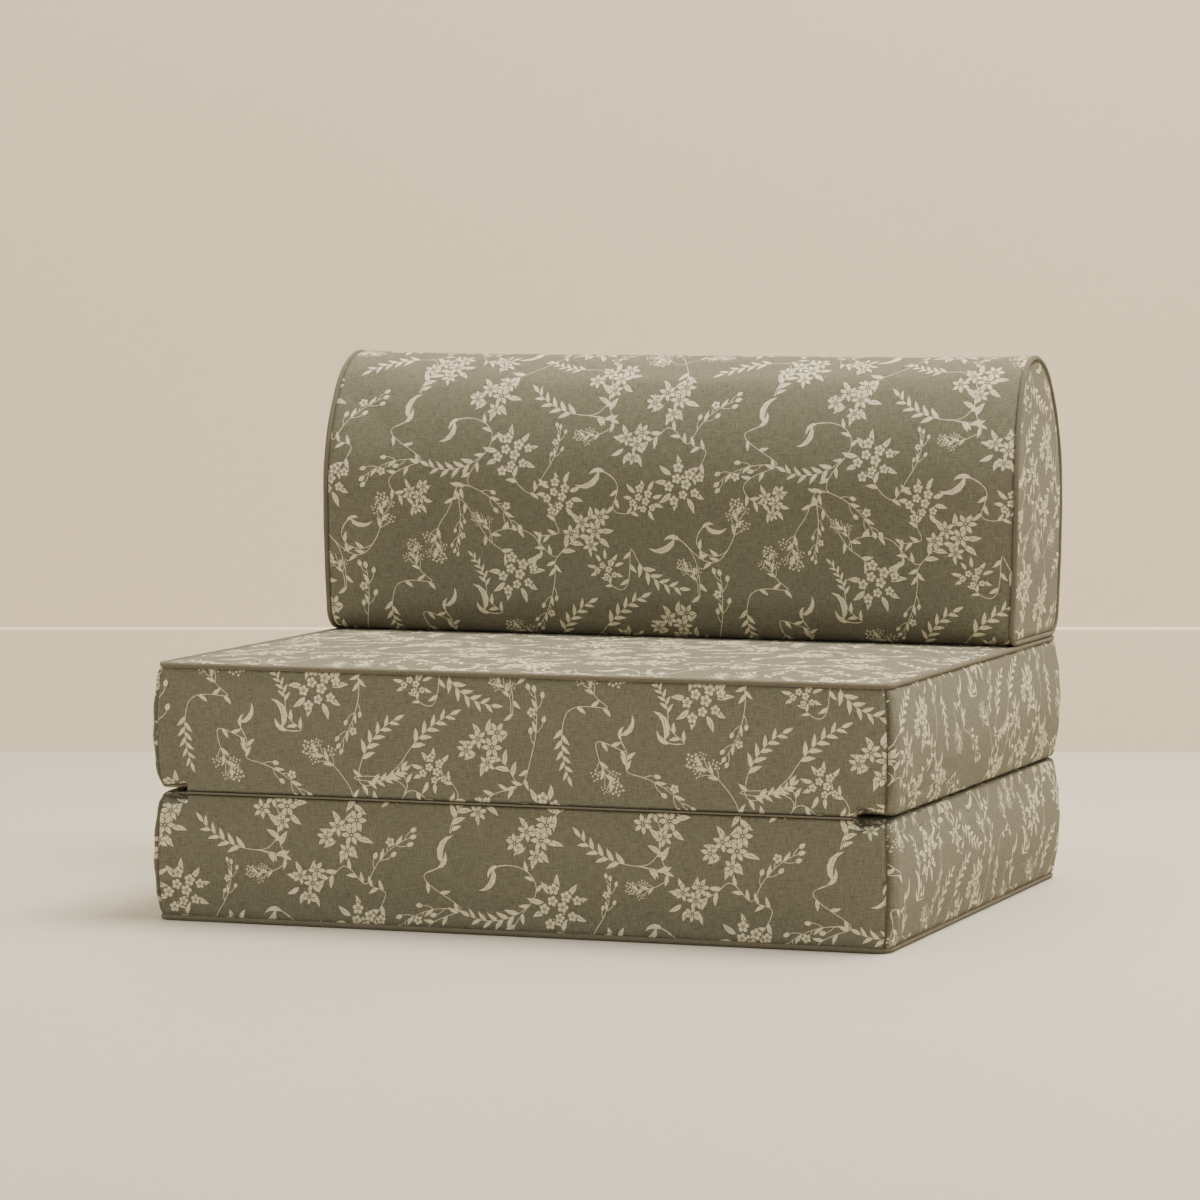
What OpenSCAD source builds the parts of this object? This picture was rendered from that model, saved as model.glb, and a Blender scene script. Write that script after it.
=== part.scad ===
// Fold-out futon mattress: two foam seat blocks hinged along their front
// edge, and an arched bolster backrest hinged to the rear of the top block.
// Origin: centre of the base on the floor. +X right, -Y front, +Z up.

/* [Seat blocks] */
// Width of a seat block, side to side
seat_w = 800; // [640:1:1000]
// Depth of a seat block, front to rear
seat_d = 670; // [540:1:840]
// Thickness of one seat block
block_t = 135; // [110:1:170]
// Radius of a block's upright corners
corner_r = 16; // [14:1:40]

/* [Backrest] */
// Thickness of the backrest between its flat sides
back_t = 195; // [160:1:240]
// Height of the backrest, base to crown
back_h = 314; // [260:1:390]
// Height of the arch above the flat sides
arch_rise = 152; // [125:1:185]
// Radius of the arch at its crown
crown_r = 75; // [60:1:78]
// Radius of the two long base edges
base_edge_r = 22; // [17:1:28]

/* [Cover and filling] */
// Thickness of a cover panel with its lining
cover_t = 2; // [1.5:0.1:3]
// Diameter of the piping cord with its cover
piping_d = 6; // [4:0.5:8]
// How far the piping stands out beyond the panel beside it
piping_out = 0.5; // [0.2:0.1:1]
// Thickness of the wadding round each foam core
wadding_t = 8; // [5:1:15]

/* [Hinges] */
// Gap between the two closed seat blocks
block_gap = 1.8; // [1.6:0.1:4]
// Gap between the seat and the base of the backrest
back_gap = 0.8; // [0.6:0.1:3]
// Distance of the front hinge line in front of the front bands
front_axis_out = 4; // [3:0.1:6]
// Distance of the rear hinge line behind the rear bands
rear_axis_out = 4.5; // [4.2:0.1:8]
// Thickness of a hinge tape
hinge_tape_t = 0.6; // [0.4:0.1:0.7]
// Width of a hinge tape where it is sewn down
hinge_tape_w = 24; // [15:1:35]
// Distance from a block's side to the end of the front hinge tapes
front_seam_inset = 35; // [28:1:60]
// Distance from a block's side to the end of the rear hinge tapes
rear_seam_inset = 45; // [35:1:80]

/* [Zips] */
// Distance from a block's side to the end of its zip
zip_inset = 50; // [45:1:120]
// Height of the slot in the cover that shows the zip
zip_slot_h = 9; // [8.8:0.1:12]
// Width of a pair of zip tapes
zip_tape_w = 32; // [24:1:34]
// Thickness of a zip tape
zip_tape_t = 0.7; // [0.4:0.1:1]
// Width of one row of the zip's coil
coil_w = 2.2; // [1.8:0.1:2.6]
// Thickness of the coil
coil_t = 1.6; // [1.2:0.1:1.8]
// Gap between the two rows of coil
coil_gap = 1.6; // [1.4:0.1:2]
// Length of a zip stop
stop_len = 3; // [2:0.5:5]
// Height of the backrest's zip above its base
back_zip_h = 46; // [46:1:52]

/* [Zip slider and pull] */
// Length of the slider
slider_len = 14; // [12:1:18]
// Width of the slider
slider_w = 8; // [7:0.1:8.2]
// Thickness of the slider's outer plate
slider_plate_t = 1.4; // [1:0.1:1.6]
// Thickness of the slider's inner plate
slider_inner_t = 1.2; // [0.8:0.1:1.5]
// Width of the post that joins the slider's plates
slider_post_w = 1; // [0.6:0.1:1]
// Diameter of the pin that carries the pull
pull_pin_d = 1.6; // [1.2:0.1:2]
// Wall round the pin's hole in the pull
pull_eye_wall = 0.8; // [0.6:0.1:1]
// Length of the pull, from its pin to its end
pull_len = 24; // [18:1:30]
// Width of the pull
pull_w = 7; // [6:0.1:8]
// Thickness of the pull
pull_t = 1.3; // [1:0.1:1.6]
// Free play between sliding or turning parts
run_gap = 0.3; // [0.3:0.05:0.4]

/* [Care label] */
// Width of the blank care label
label_w = 34; // [20:1:50]
// Height of the blank care label
label_h = 26; // [18:1:40]
// Thickness of the blank care label
label_t = 0.5; // [0.3:0.1:1]
// Height of the label's lower end above the floor
label_z = 14; // [8:1:20]
// Distance from the block's side to the label
label_inset = 90; // [60:1:140]

/* [Hidden] */
$fn = 96;

fabric_colour = [0.44, 0.40, 0.31];
piping_colour = [0.40, 0.37, 0.28];
foam_colour = [0.93, 0.90, 0.80];
wadding_colour = [0.95, 0.95, 0.94];
tape_colour = [0.36, 0.33, 0.26];
coil_colour = [0.50, 0.46, 0.36];
metal_colour = [0.62, 0.58, 0.48];
label_colour = [0.92, 0.91, 0.87];

// Heights and depths that the bodies share
upper_base = block_t + block_gap;
seat_top = upper_base + block_t;
back_base = seat_top + back_gap;
rear_y = seat_d / 2;
front_y = -seat_d / 2;
zip_len = seat_w - 2 * zip_inset;

// The piping fills a square corner channel between two panels
piping_room = piping_d - piping_out;
piping_inset = piping_d / 2 - piping_out;
piping_sides = 12;

// Arch of the backrest: a crown arc between two shoulder arcs, all tangent
back_mid_y = rear_y - back_t / 2;
back_front_y = rear_y - back_t;
half_t = back_t / 2;
shoulder_r = (half_t ^ 2 + arch_rise ^ 2 - 2 * arch_rise * crown_r)
    / (2 * (half_t - crown_r));
spring_z = back_base + back_h - arch_rise;
crown_lift = arch_rise - crown_r;
shoulder_out = shoulder_r - half_t;
shoulder_a = atan2(crown_lift, shoulder_out);
back_zip_z = back_base + back_zip_h;

// Zip layers, measured outwards from the cover's outer face
tape_out = -cover_t;
tape_in = tape_out - zip_tape_t;
coil_out = tape_out + coil_t;
plate_in = coil_out + run_gap;
plate_out = plate_in + slider_plate_t;
inner_out = tape_in - run_gap;
inner_in = inner_out - slider_inner_t;
eye_r = pull_pin_d / 2 + run_gap + pull_eye_wall;
pin_y = plate_out + run_gap + eye_r;
ear_r = pull_pin_d / 2 + pull_eye_wall;
ear_t = 0.8;
eye_w = 4;
slider_x = zip_len / 2 - stop_len - 1 - run_gap - slider_len / 2;

// ---------- Helpers ----------

// Points along an arc in n steps, with some left off at each end
function arc(c, r, a0, a1, n = 16, skip = 0) =
    [for (i = [skip:n - skip]) let (a = a0 + (a1 - a0) * i / n) c + r * [cos(a), sin(a)]];

// Outline of the backrest in the Y-Z plane, drawn in by an inset
function back_outline(inset) = concat(
    arc([rear_y - base_edge_r, back_base + base_edge_r], base_edge_r - inset, -90, 0, 8),
    arc([back_mid_y - shoulder_out, spring_z], shoulder_r - inset, 0, shoulder_a),
    arc([back_mid_y, spring_z + crown_lift], crown_r - inset, shoulder_a, 180 - shoulder_a,
        skip = 1),
    arc([back_mid_y + shoulder_out, spring_z], shoulder_r - inset, 180 - shoulder_a, 180),
    arc([back_front_y + base_edge_r, back_base + base_edge_r], base_edge_r - inset, 180, 270, 8));

// Extrudes a Y-Z outline along X
module along_x(x0, x1) {
    translate([x0, 0, 0]) rotate([90, 0, 90]) linear_extrude(x1 - x0) children();
}

// Extrudes an X-Z outline along Y
module along_y(y0, y1) {
    translate([0, y1, 0]) rotate([90, 0, 0]) linear_extrude(y1 - y0) children();
}

// A box given by its lowest and highest corners
module box(low, high) {
    translate(low) cube(high - low);
}

// Plan outline of a block, drawn in by an inset
module block_plan(inset) {
    w = seat_w - 2 * inset;
    d = seat_d - 2 * inset;
    r = corner_r - inset;
    square([w - 2 * r, d], center = true);
    square([w, d - 2 * r], center = true);
    for (x = [-1, 1], y = [-1, 1])
        translate([x * (w / 2 - r), y * (d / 2 - r)]) circle(r);
}

// A slice of a block between two heights
module block_slice(inset, z0, z1) {
    translate([0, 0, z0]) linear_extrude(z1 - z0) block_plan(inset);
}

// Puts a block's parts at the lower place, piped face down
module in_lower() {
    children();
}

// Puts a block's parts at the upper place, piped face up
module in_upper() {
    translate([0, 0, seat_top]) mirror([0, 0, 1]) children();
}

// Puts a zip's parts on a rear face at a height
module on_rear(z) {
    translate([0, rear_y, z]) children();
}

// ---------- Seat block, piped face at z = 0 ----------

// Everything inside the cover, with a channel left for the piping
module block_filling() {
    block_slice(cover_t, piping_d, block_t - cover_t);
    block_slice(piping_room, cover_t, piping_d);
}

// The space inside the wadding sleeve, open at both sides
module block_core_space() {
    box([-seat_w / 2, front_y + cover_t + wadding_t, cover_t + wadding_t],
        [seat_w / 2, rear_y - cover_t - wadding_t, block_t - cover_t - wadding_t]);
}

module block_foam_core() {
    intersection() {
        block_filling();
        block_core_space();
    }
}

module block_wadding() {
    difference() {
        block_filling();
        block_core_space();
        on_rear(block_t / 2) zip_pocket();
    }
}

module block_piped_panel() {
    block_slice(piping_room, 0, cover_t);
}

module block_plain_panel() {
    block_slice(cover_t, block_t - cover_t, block_t);
}

// The whole ring of side bands
module block_bands() {
    difference() {
        block_slice(0, piping_d, block_t);
        block_slice(cover_t, piping_d - 1, block_t + 1);
    }
}

// Wedge that holds the band on the side where y is -1 or 1
module front_rear_wedge(y) {
    out_x = seat_w / 2 + 1;
    out_y = seat_d / 2 + 1;
    in_x = seat_w / 2 - corner_r;
    in_y = seat_d / 2 - corner_r;
    linear_extrude(block_t)
        polygon([[-out_x, y * out_y], [out_x, y * out_y], [in_x, y * in_y], [-in_x, y * in_y]]);
}

// Wedge that holds the band on the side where x is -1 or 1
module side_wedge(x) {
    out_x = seat_w / 2 + 1;
    out_y = seat_d / 2 + 1;
    in_x = seat_w / 2 - corner_r;
    in_y = seat_d / 2 - corner_r;
    linear_extrude(block_t)
        polygon([[x * out_x, -out_y], [x * out_x, out_y], [x * in_x, in_y], [x * in_x, -in_y]]);
}

module block_front_band() {
    intersection() {
        block_bands();
        front_rear_wedge(-1);
    }
}

module block_rear_band() {
    difference() {
        intersection() {
            block_bands();
            front_rear_wedge(1);
        }
        on_rear(block_t / 2) zip_slot();
    }
}

module block_side_band(x) {
    intersection() {
        block_bands();
        side_wedge(x);
    }
}

// Piping round the plan: four straight runs and four corner bends
module block_piping() {
    bend_x = seat_w / 2 - corner_r;
    bend_y = seat_d / 2 - corner_r;
    translate([0, 0, piping_d / 2]) {
        for (y = [-1, 1])
            translate([-bend_x, y * (seat_d / 2 - piping_inset), 0])
                rotate([0, 90, 0]) cylinder(d = piping_d, h = 2 * bend_x);
        for (x = [-1, 1])
            translate([x * (seat_w / 2 - piping_inset), bend_y, 0])
                rotate([90, 0, 0]) cylinder(d = piping_d, h = 2 * bend_y);
        for (k = [0:3])
            translate([k == 0 || k == 3 ? bend_x : -bend_x, k < 2 ? bend_y : -bend_y, 0])
                rotate([0, 0, 90 * k]) rotate_extrude(angle = 90)
                    translate([corner_r - piping_inset, 0]) circle(d = piping_d);
    }
}

// ---------- Zip, at the origin on the cover's outer face, outwards +Y ----------

// Slot through the cover
module zip_slot() {
    box([-zip_len / 2, -cover_t - 1, -zip_slot_h / 2], [zip_len / 2, 1, zip_slot_h / 2]);
}

// Room in the filling for the tapes and for the slider's inner plate
module zip_pocket() {
    tape_x = zip_len / 2 + stop_len;
    groove_z = slider_w / 2 + run_gap;
    box([-tape_x, tape_in, -zip_tape_w / 2], [tape_x, 1, zip_tape_w / 2]);
    box([-zip_len / 2, inner_in - run_gap, -groove_z], [zip_len / 2, 1, groove_z]);
}

module zip_tape_pair() {
    tape_x = zip_len / 2 + stop_len;
    for (side = [0, 1]) mirror([0, 0, side])
        box([-tape_x, tape_in, coil_gap / 2], [tape_x, tape_out, zip_tape_w / 2]);
}

module zip_coil_pair() {
    coil_x = zip_len / 2 - stop_len - 1;
    for (side = [0, 1]) mirror([0, 0, side])
        box([-coil_x, tape_out, coil_gap / 2], [coil_x, coil_out, coil_gap / 2 + coil_w]);
}

module zip_stop_pair() {
    stop_z = coil_gap / 2 + coil_w;
    for (side = [0, 1]) mirror([side, 0, 0])
        box([zip_len / 2 - stop_len - 1, tape_out, -stop_z], [zip_len / 2 - 1, coil_out, stop_z]);
}

// Flat plate with round ends, lying along the zip
module slider_plate(y0, y1) {
    r = slider_w / 2;
    along_y(y0, y1) {
        square([slider_len - slider_w, slider_w], center = true);
        for (x = [-1, 1]) translate([x * (slider_len / 2 - r), 0]) circle(r);
    }
}

module zip_slider() {
    ear_z = eye_w / 2 + run_gap;
    translate([slider_x, 0, 0]) {
        slider_plate(plate_in, plate_out);
        slider_plate(inner_in, inner_out);
        box([-slider_len / 4, inner_out, -slider_post_w / 2],
            [slider_len / 4, plate_in, slider_post_w / 2]);
        for (side = [0, 1]) mirror([0, 0, side]) {
            translate([0, pin_y, ear_z]) cylinder(r = ear_r, h = ear_t);
            box([-ear_r, plate_out, ear_z], [ear_r, pin_y, ear_z + ear_t]);
        }
        translate([0, pin_y, -ear_z]) cylinder(d = pull_pin_d, h = 2 * ear_z);
    }
}

// Pull with its eye on the slider's pin, lying towards -X
module zip_pull() {
    neck = ear_r + 2 * run_gap;
    tab_in = pin_y - eye_r;
    translate([slider_x, 0, 0]) difference() {
        union() {
            translate([0, pin_y, -eye_w / 2]) cylinder(r = eye_r, h = eye_w);
            box([-neck - pull_w / 4, tab_in, -eye_w / 2], [0, tab_in + pull_t, eye_w / 2]);
            along_y(tab_in, tab_in + pull_t) {
                translate([-pull_len + pull_w / 2, -pull_w / 2])
                    square([pull_len - pull_w / 2 - neck, pull_w]);
                translate([-pull_len + pull_w / 2, 0]) circle(d = pull_w);
            }
        }
        translate([0, pin_y, -eye_w]) cylinder(d = pull_pin_d + 2 * run_gap, h = 2 * eye_w);
    }
}

// ---------- Backrest ----------

// The cover's shell between the two pipings, before it is cut into panels
module back_shell() {
    along_x(-seat_w / 2 + piping_room, seat_w / 2 - piping_room) difference() {
        polygon(back_outline(0));
        polygon(back_outline(cover_t));
    }
}

// Space of the base panel, between the two rounded base edges
module back_base_space() {
    box([-seat_w, back_front_y + base_edge_r, back_base - 1],
        [seat_w, rear_y - base_edge_r, back_base + base_edge_r]);
}

// Space of the rear panel, from the base panel up to the zip
module back_rear_space() {
    box([-seat_w, rear_y - base_edge_r, back_base - 1], [seat_w, rear_y + 1, back_zip_z]);
}

module back_filling() {
    along_x(-seat_w / 2 + piping_room, seat_w / 2 - piping_room)
        polygon(back_outline(cover_t));
    along_x(-seat_w / 2 + cover_t, seat_w / 2 - cover_t) polygon(back_outline(piping_d));
}

module back_core_solid() {
    along_x(-seat_w / 2 + cover_t, seat_w / 2 - cover_t)
        polygon(back_outline(cover_t + wadding_t));
}

// Piping round an end panel: a round tube swept along the outline
module back_piping(side) {
    r = piping_d / 2;
    x0 = side * (seat_w / 2 - piping_inset);
    turns = [for (j = [0:piping_sides - 1]) 360 * j / piping_sides];
    rings = [for (a = turns) back_outline(r - r * cos(a))];
    n = len(rings[0]);
    m = piping_sides;
    points = [for (k = [0:n - 1]) for (j = [0:m - 1])
        [x0 + r * sin(turns[j]), rings[j][k][0], rings[j][k][1]]];
    faces = [for (k = [0:n - 1]) for (j = [0:m - 1])
        [k * m + j, ((k + 1) % n) * m + j,
            ((k + 1) % n) * m + (j + 1) % m, k * m + (j + 1) % m]];
    polyhedron(points, faces);
}

module back_end(side) {
    x = side * (seat_w - cover_t) / 2;
    along_x(x - cover_t / 2, x + cover_t / 2) polygon(back_outline(piping_d));
}

// ---------- Nodes of the lower section ----------

module lower_foam_core() { color(foam_colour) in_lower() block_foam_core(); }
module lower_wadding() { color(wadding_colour) in_lower() block_wadding(); }
module lower_top_panel() { color(fabric_colour) in_lower() block_plain_panel(); }
module lower_base_panel() { color(fabric_colour) in_lower() block_piped_panel(); }
module lower_front_band() { color(fabric_colour) in_lower() block_front_band(); }
module lower_rear_band() { color(fabric_colour) in_lower() block_rear_band(); }
module lower_left_band() { color(fabric_colour) in_lower() block_side_band(-1); }
module lower_right_band() { color(fabric_colour) in_lower() block_side_band(1); }
module lower_base_piping() { color(piping_colour) in_lower() block_piping(); }
module lower_zip_tapes() { color(tape_colour) on_rear(block_t / 2) zip_tape_pair(); }
module lower_zip_coils() { color(coil_colour) on_rear(block_t / 2) zip_coil_pair(); }
module lower_zip_stops() { color(metal_colour) on_rear(block_t / 2) zip_stop_pair(); }
module lower_zip_slider() { color(metal_colour) on_rear(block_t / 2) zip_slider(); }
module lower_zip_pull() { color(metal_colour) on_rear(block_t / 2) zip_pull(); }

// Tape sewn flat on the lower block's top, reaching the front hinge line
module lower_front_hinge_tape() {
    x = seat_w / 2 - front_seam_inset;
    color(tape_colour)
        box([-x, front_y - front_axis_out, block_t],
            [x, front_y + hinge_tape_w, block_t + hinge_tape_t]);
}

// Blank label sewn to the lower rear band
module care_label() {
    x = -seat_w / 2 + label_inset;
    color(label_colour)
        box([x, rear_y, label_z], [x + label_w, rear_y + label_t, label_z + label_h]);
}

// ---------- Nodes of the upper section ----------

module upper_foam_core() { color(foam_colour) in_upper() block_foam_core(); }
module upper_wadding() { color(wadding_colour) in_upper() block_wadding(); }
module upper_top_panel() { color(fabric_colour) in_upper() block_piped_panel(); }
module upper_base_panel() { color(fabric_colour) in_upper() block_plain_panel(); }
module upper_front_band() { color(fabric_colour) in_upper() block_front_band(); }
module upper_rear_band() { color(fabric_colour) in_upper() block_rear_band(); }
module upper_left_band() { color(fabric_colour) in_upper() block_side_band(-1); }
module upper_right_band() { color(fabric_colour) in_upper() block_side_band(1); }
module upper_top_piping() { color(piping_colour) in_upper() block_piping(); }
module upper_zip_tapes() { color(tape_colour) in_upper() on_rear(block_t / 2) zip_tape_pair(); }
module upper_zip_coils() { color(coil_colour) in_upper() on_rear(block_t / 2) zip_coil_pair(); }
module upper_zip_stops() { color(metal_colour) in_upper() on_rear(block_t / 2) zip_stop_pair(); }
module upper_zip_slider() { color(metal_colour) in_upper() on_rear(block_t / 2) zip_slider(); }
module upper_zip_pull() { color(metal_colour) in_upper() on_rear(block_t / 2) zip_pull(); }

// Tape sewn flat under the upper block, reaching the front hinge line
module upper_front_hinge_tape() {
    x = seat_w / 2 - front_seam_inset;
    color(tape_colour)
        box([-x, front_y - front_axis_out, upper_base - hinge_tape_t],
            [x, front_y + hinge_tape_w, upper_base]);
}

// Tape down the upper rear band, turned out at the top to the rear hinge line
module upper_rear_hinge_tape() {
    x = seat_w / 2 - rear_seam_inset;
    face = rear_y + piping_out;
    color(tape_colour) {
        box([-x, face, seat_top - hinge_tape_w], [x, face + hinge_tape_t, seat_top]);
        box([-x, face, seat_top - hinge_tape_t], [x, rear_y + rear_axis_out, seat_top]);
    }
}

// ---------- Nodes of the backrest ----------

module back_foam_core() { color(foam_colour) back_core_solid(); }

module back_wadding() {
    color(wadding_colour) difference() {
        back_filling();
        back_core_solid();
        on_rear(back_zip_z) zip_pocket();
    }
}

// Front, crown and upper rear in one piece of cloth
module back_wrap_panel() {
    color(fabric_colour) difference() {
        back_shell();
        back_base_space();
        back_rear_space();
        on_rear(back_zip_z) zip_slot();
    }
}

module back_rear_panel() {
    color(fabric_colour) difference() {
        intersection() {
            back_shell();
            back_rear_space();
        }
        on_rear(back_zip_z) zip_slot();
    }
}

module back_base_panel() {
    color(fabric_colour) intersection() {
        back_shell();
        back_base_space();
    }
}

module back_left_end() { color(fabric_colour) back_end(-1); }
module back_right_end() { color(fabric_colour) back_end(1); }
module back_left_piping() { color(piping_colour) back_piping(-1); }
module back_right_piping() { color(piping_colour) back_piping(1); }
module back_zip_tapes() { color(tape_colour) on_rear(back_zip_z) zip_tape_pair(); }
module back_zip_coils() { color(coil_colour) on_rear(back_zip_z) zip_coil_pair(); }
module back_zip_stops() { color(metal_colour) on_rear(back_zip_z) zip_stop_pair(); }
module back_zip_slider() { color(metal_colour) on_rear(back_zip_z) zip_slider(); }
module back_zip_pull() { color(metal_colour) on_rear(back_zip_z) zip_pull(); }

// Tape from the rear hinge line up to the rear panel, over the round base edge
module back_rear_hinge_tape() {
    x = seat_w / 2 - rear_seam_inset;
    knee_z = back_base + base_edge_r;
    color(tape_colour) along_x(-x, x) polygon([
        [rear_y + rear_axis_out, back_base],
        [rear_y, knee_z],
        [rear_y, knee_z + hinge_tape_w / 3],
        [rear_y + hinge_tape_t, knee_z + hinge_tape_w / 3],
        [rear_y + hinge_tape_t, knee_z],
        [rear_y + rear_axis_out + hinge_tape_t, back_base]]);
}

lower_foam_core();
lower_wadding();
lower_top_panel();
lower_base_panel();
lower_front_band();
lower_rear_band();
lower_left_band();
lower_right_band();
lower_base_piping();
lower_zip_tapes();
lower_zip_coils();
lower_zip_stops();
lower_zip_slider();
lower_zip_pull();
lower_front_hinge_tape();
care_label();
upper_foam_core();
upper_wadding();
upper_top_panel();
upper_base_panel();
upper_front_band();
upper_rear_band();
upper_left_band();
upper_right_band();
upper_top_piping();
upper_zip_tapes();
upper_zip_coils();
upper_zip_stops();
upper_zip_slider();
upper_zip_pull();
upper_front_hinge_tape();
upper_rear_hinge_tape();
back_foam_core();
back_wadding();
back_wrap_panel();
back_rear_panel();
back_base_panel();
back_left_end();
back_right_end();
back_left_piping();
back_right_piping();
back_zip_tapes();
back_zip_coils();
back_zip_stops();
back_zip_slider();
back_zip_pull();
back_rear_hinge_tape();
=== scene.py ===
"""A fold-out futon seat: two hinged foam blocks and an arched bolster in printed cotton."""
import logging
import math
from dataclasses import dataclass
from enum import Enum
from functools import cached_property, partial
from typing import Callable, Iterator, Sequence

import bmesh
import bpy
import numpy as np
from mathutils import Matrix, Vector, kdtree
from mathutils.geometry import delaunay_2d_cdt


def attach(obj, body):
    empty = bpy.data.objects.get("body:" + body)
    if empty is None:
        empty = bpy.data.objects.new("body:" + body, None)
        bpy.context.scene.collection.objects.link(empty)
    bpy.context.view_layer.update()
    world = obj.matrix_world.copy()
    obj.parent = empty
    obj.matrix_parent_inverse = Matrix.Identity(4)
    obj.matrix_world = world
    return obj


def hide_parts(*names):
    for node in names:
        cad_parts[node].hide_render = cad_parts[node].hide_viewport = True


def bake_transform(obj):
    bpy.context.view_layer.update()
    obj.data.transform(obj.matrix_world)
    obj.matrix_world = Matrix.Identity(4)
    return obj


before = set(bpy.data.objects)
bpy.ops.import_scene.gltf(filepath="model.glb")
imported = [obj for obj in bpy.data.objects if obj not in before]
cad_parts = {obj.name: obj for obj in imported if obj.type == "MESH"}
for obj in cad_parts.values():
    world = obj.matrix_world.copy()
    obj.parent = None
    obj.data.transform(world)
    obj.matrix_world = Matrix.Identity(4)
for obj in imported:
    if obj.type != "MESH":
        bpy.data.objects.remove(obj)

TAU = math.tau
GOLDEN = 2.399963
MM = 0.001
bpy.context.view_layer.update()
log = logging.getLogger("futon")


def link_object(name: str, data: bpy.types.ID | None) -> bpy.types.Object:
    """Makes an object from a mesh, a light or a camera and links it to the scene."""
    obj = bpy.data.objects.new(name, data)
    bpy.context.scene.collection.objects.link(obj)
    return obj


def unit_rows(rows: np.ndarray) -> np.ndarray:
    """Gives each row at length 1."""
    return rows / np.linalg.norm(rows, axis=1)[:, None]


def unit(angle: float) -> np.ndarray:
    """Gives the unit vector at an angle from +X."""
    return np.array([math.cos(angle), math.sin(angle)])


def ease(x: np.ndarray, low: float, high: float) -> np.ndarray:
    """Rises smoothly from 0 at low to 1 at high."""
    t = np.clip((x - low) / (high - low), 0.0, 1.0)
    return t * t * (3.0 - 2.0 * t)


def bell(x: np.ndarray, width: float) -> np.ndarray:
    """Gives a smooth bump of height 1 at 0 that fades over a width."""
    return np.exp(-((x / width) ** 2))


def edge_drop(inset: np.ndarray, radius: float) -> np.ndarray:
    """Gives how far a rounded edge falls below its face at a distance in from the edge."""
    left = np.clip(radius - inset, 0.0, radius)
    return radius - np.sqrt(radius * radius - left * left)


def seam_inset(radius: float) -> float:
    """Gives where the seam lies on a rounded edge: the middle of its quarter circle."""
    return radius * (1.0 - math.sqrt(0.5))


class Sprig(Enum):
    """The kinds of sprig in the print."""

    STARS = "stars"
    BLOSSOMS = "blossoms"
    UMBELS = "umbels"
    BUDS = "buds"
    LEAVES = "leaves"
    BLADES = "blades"


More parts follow.
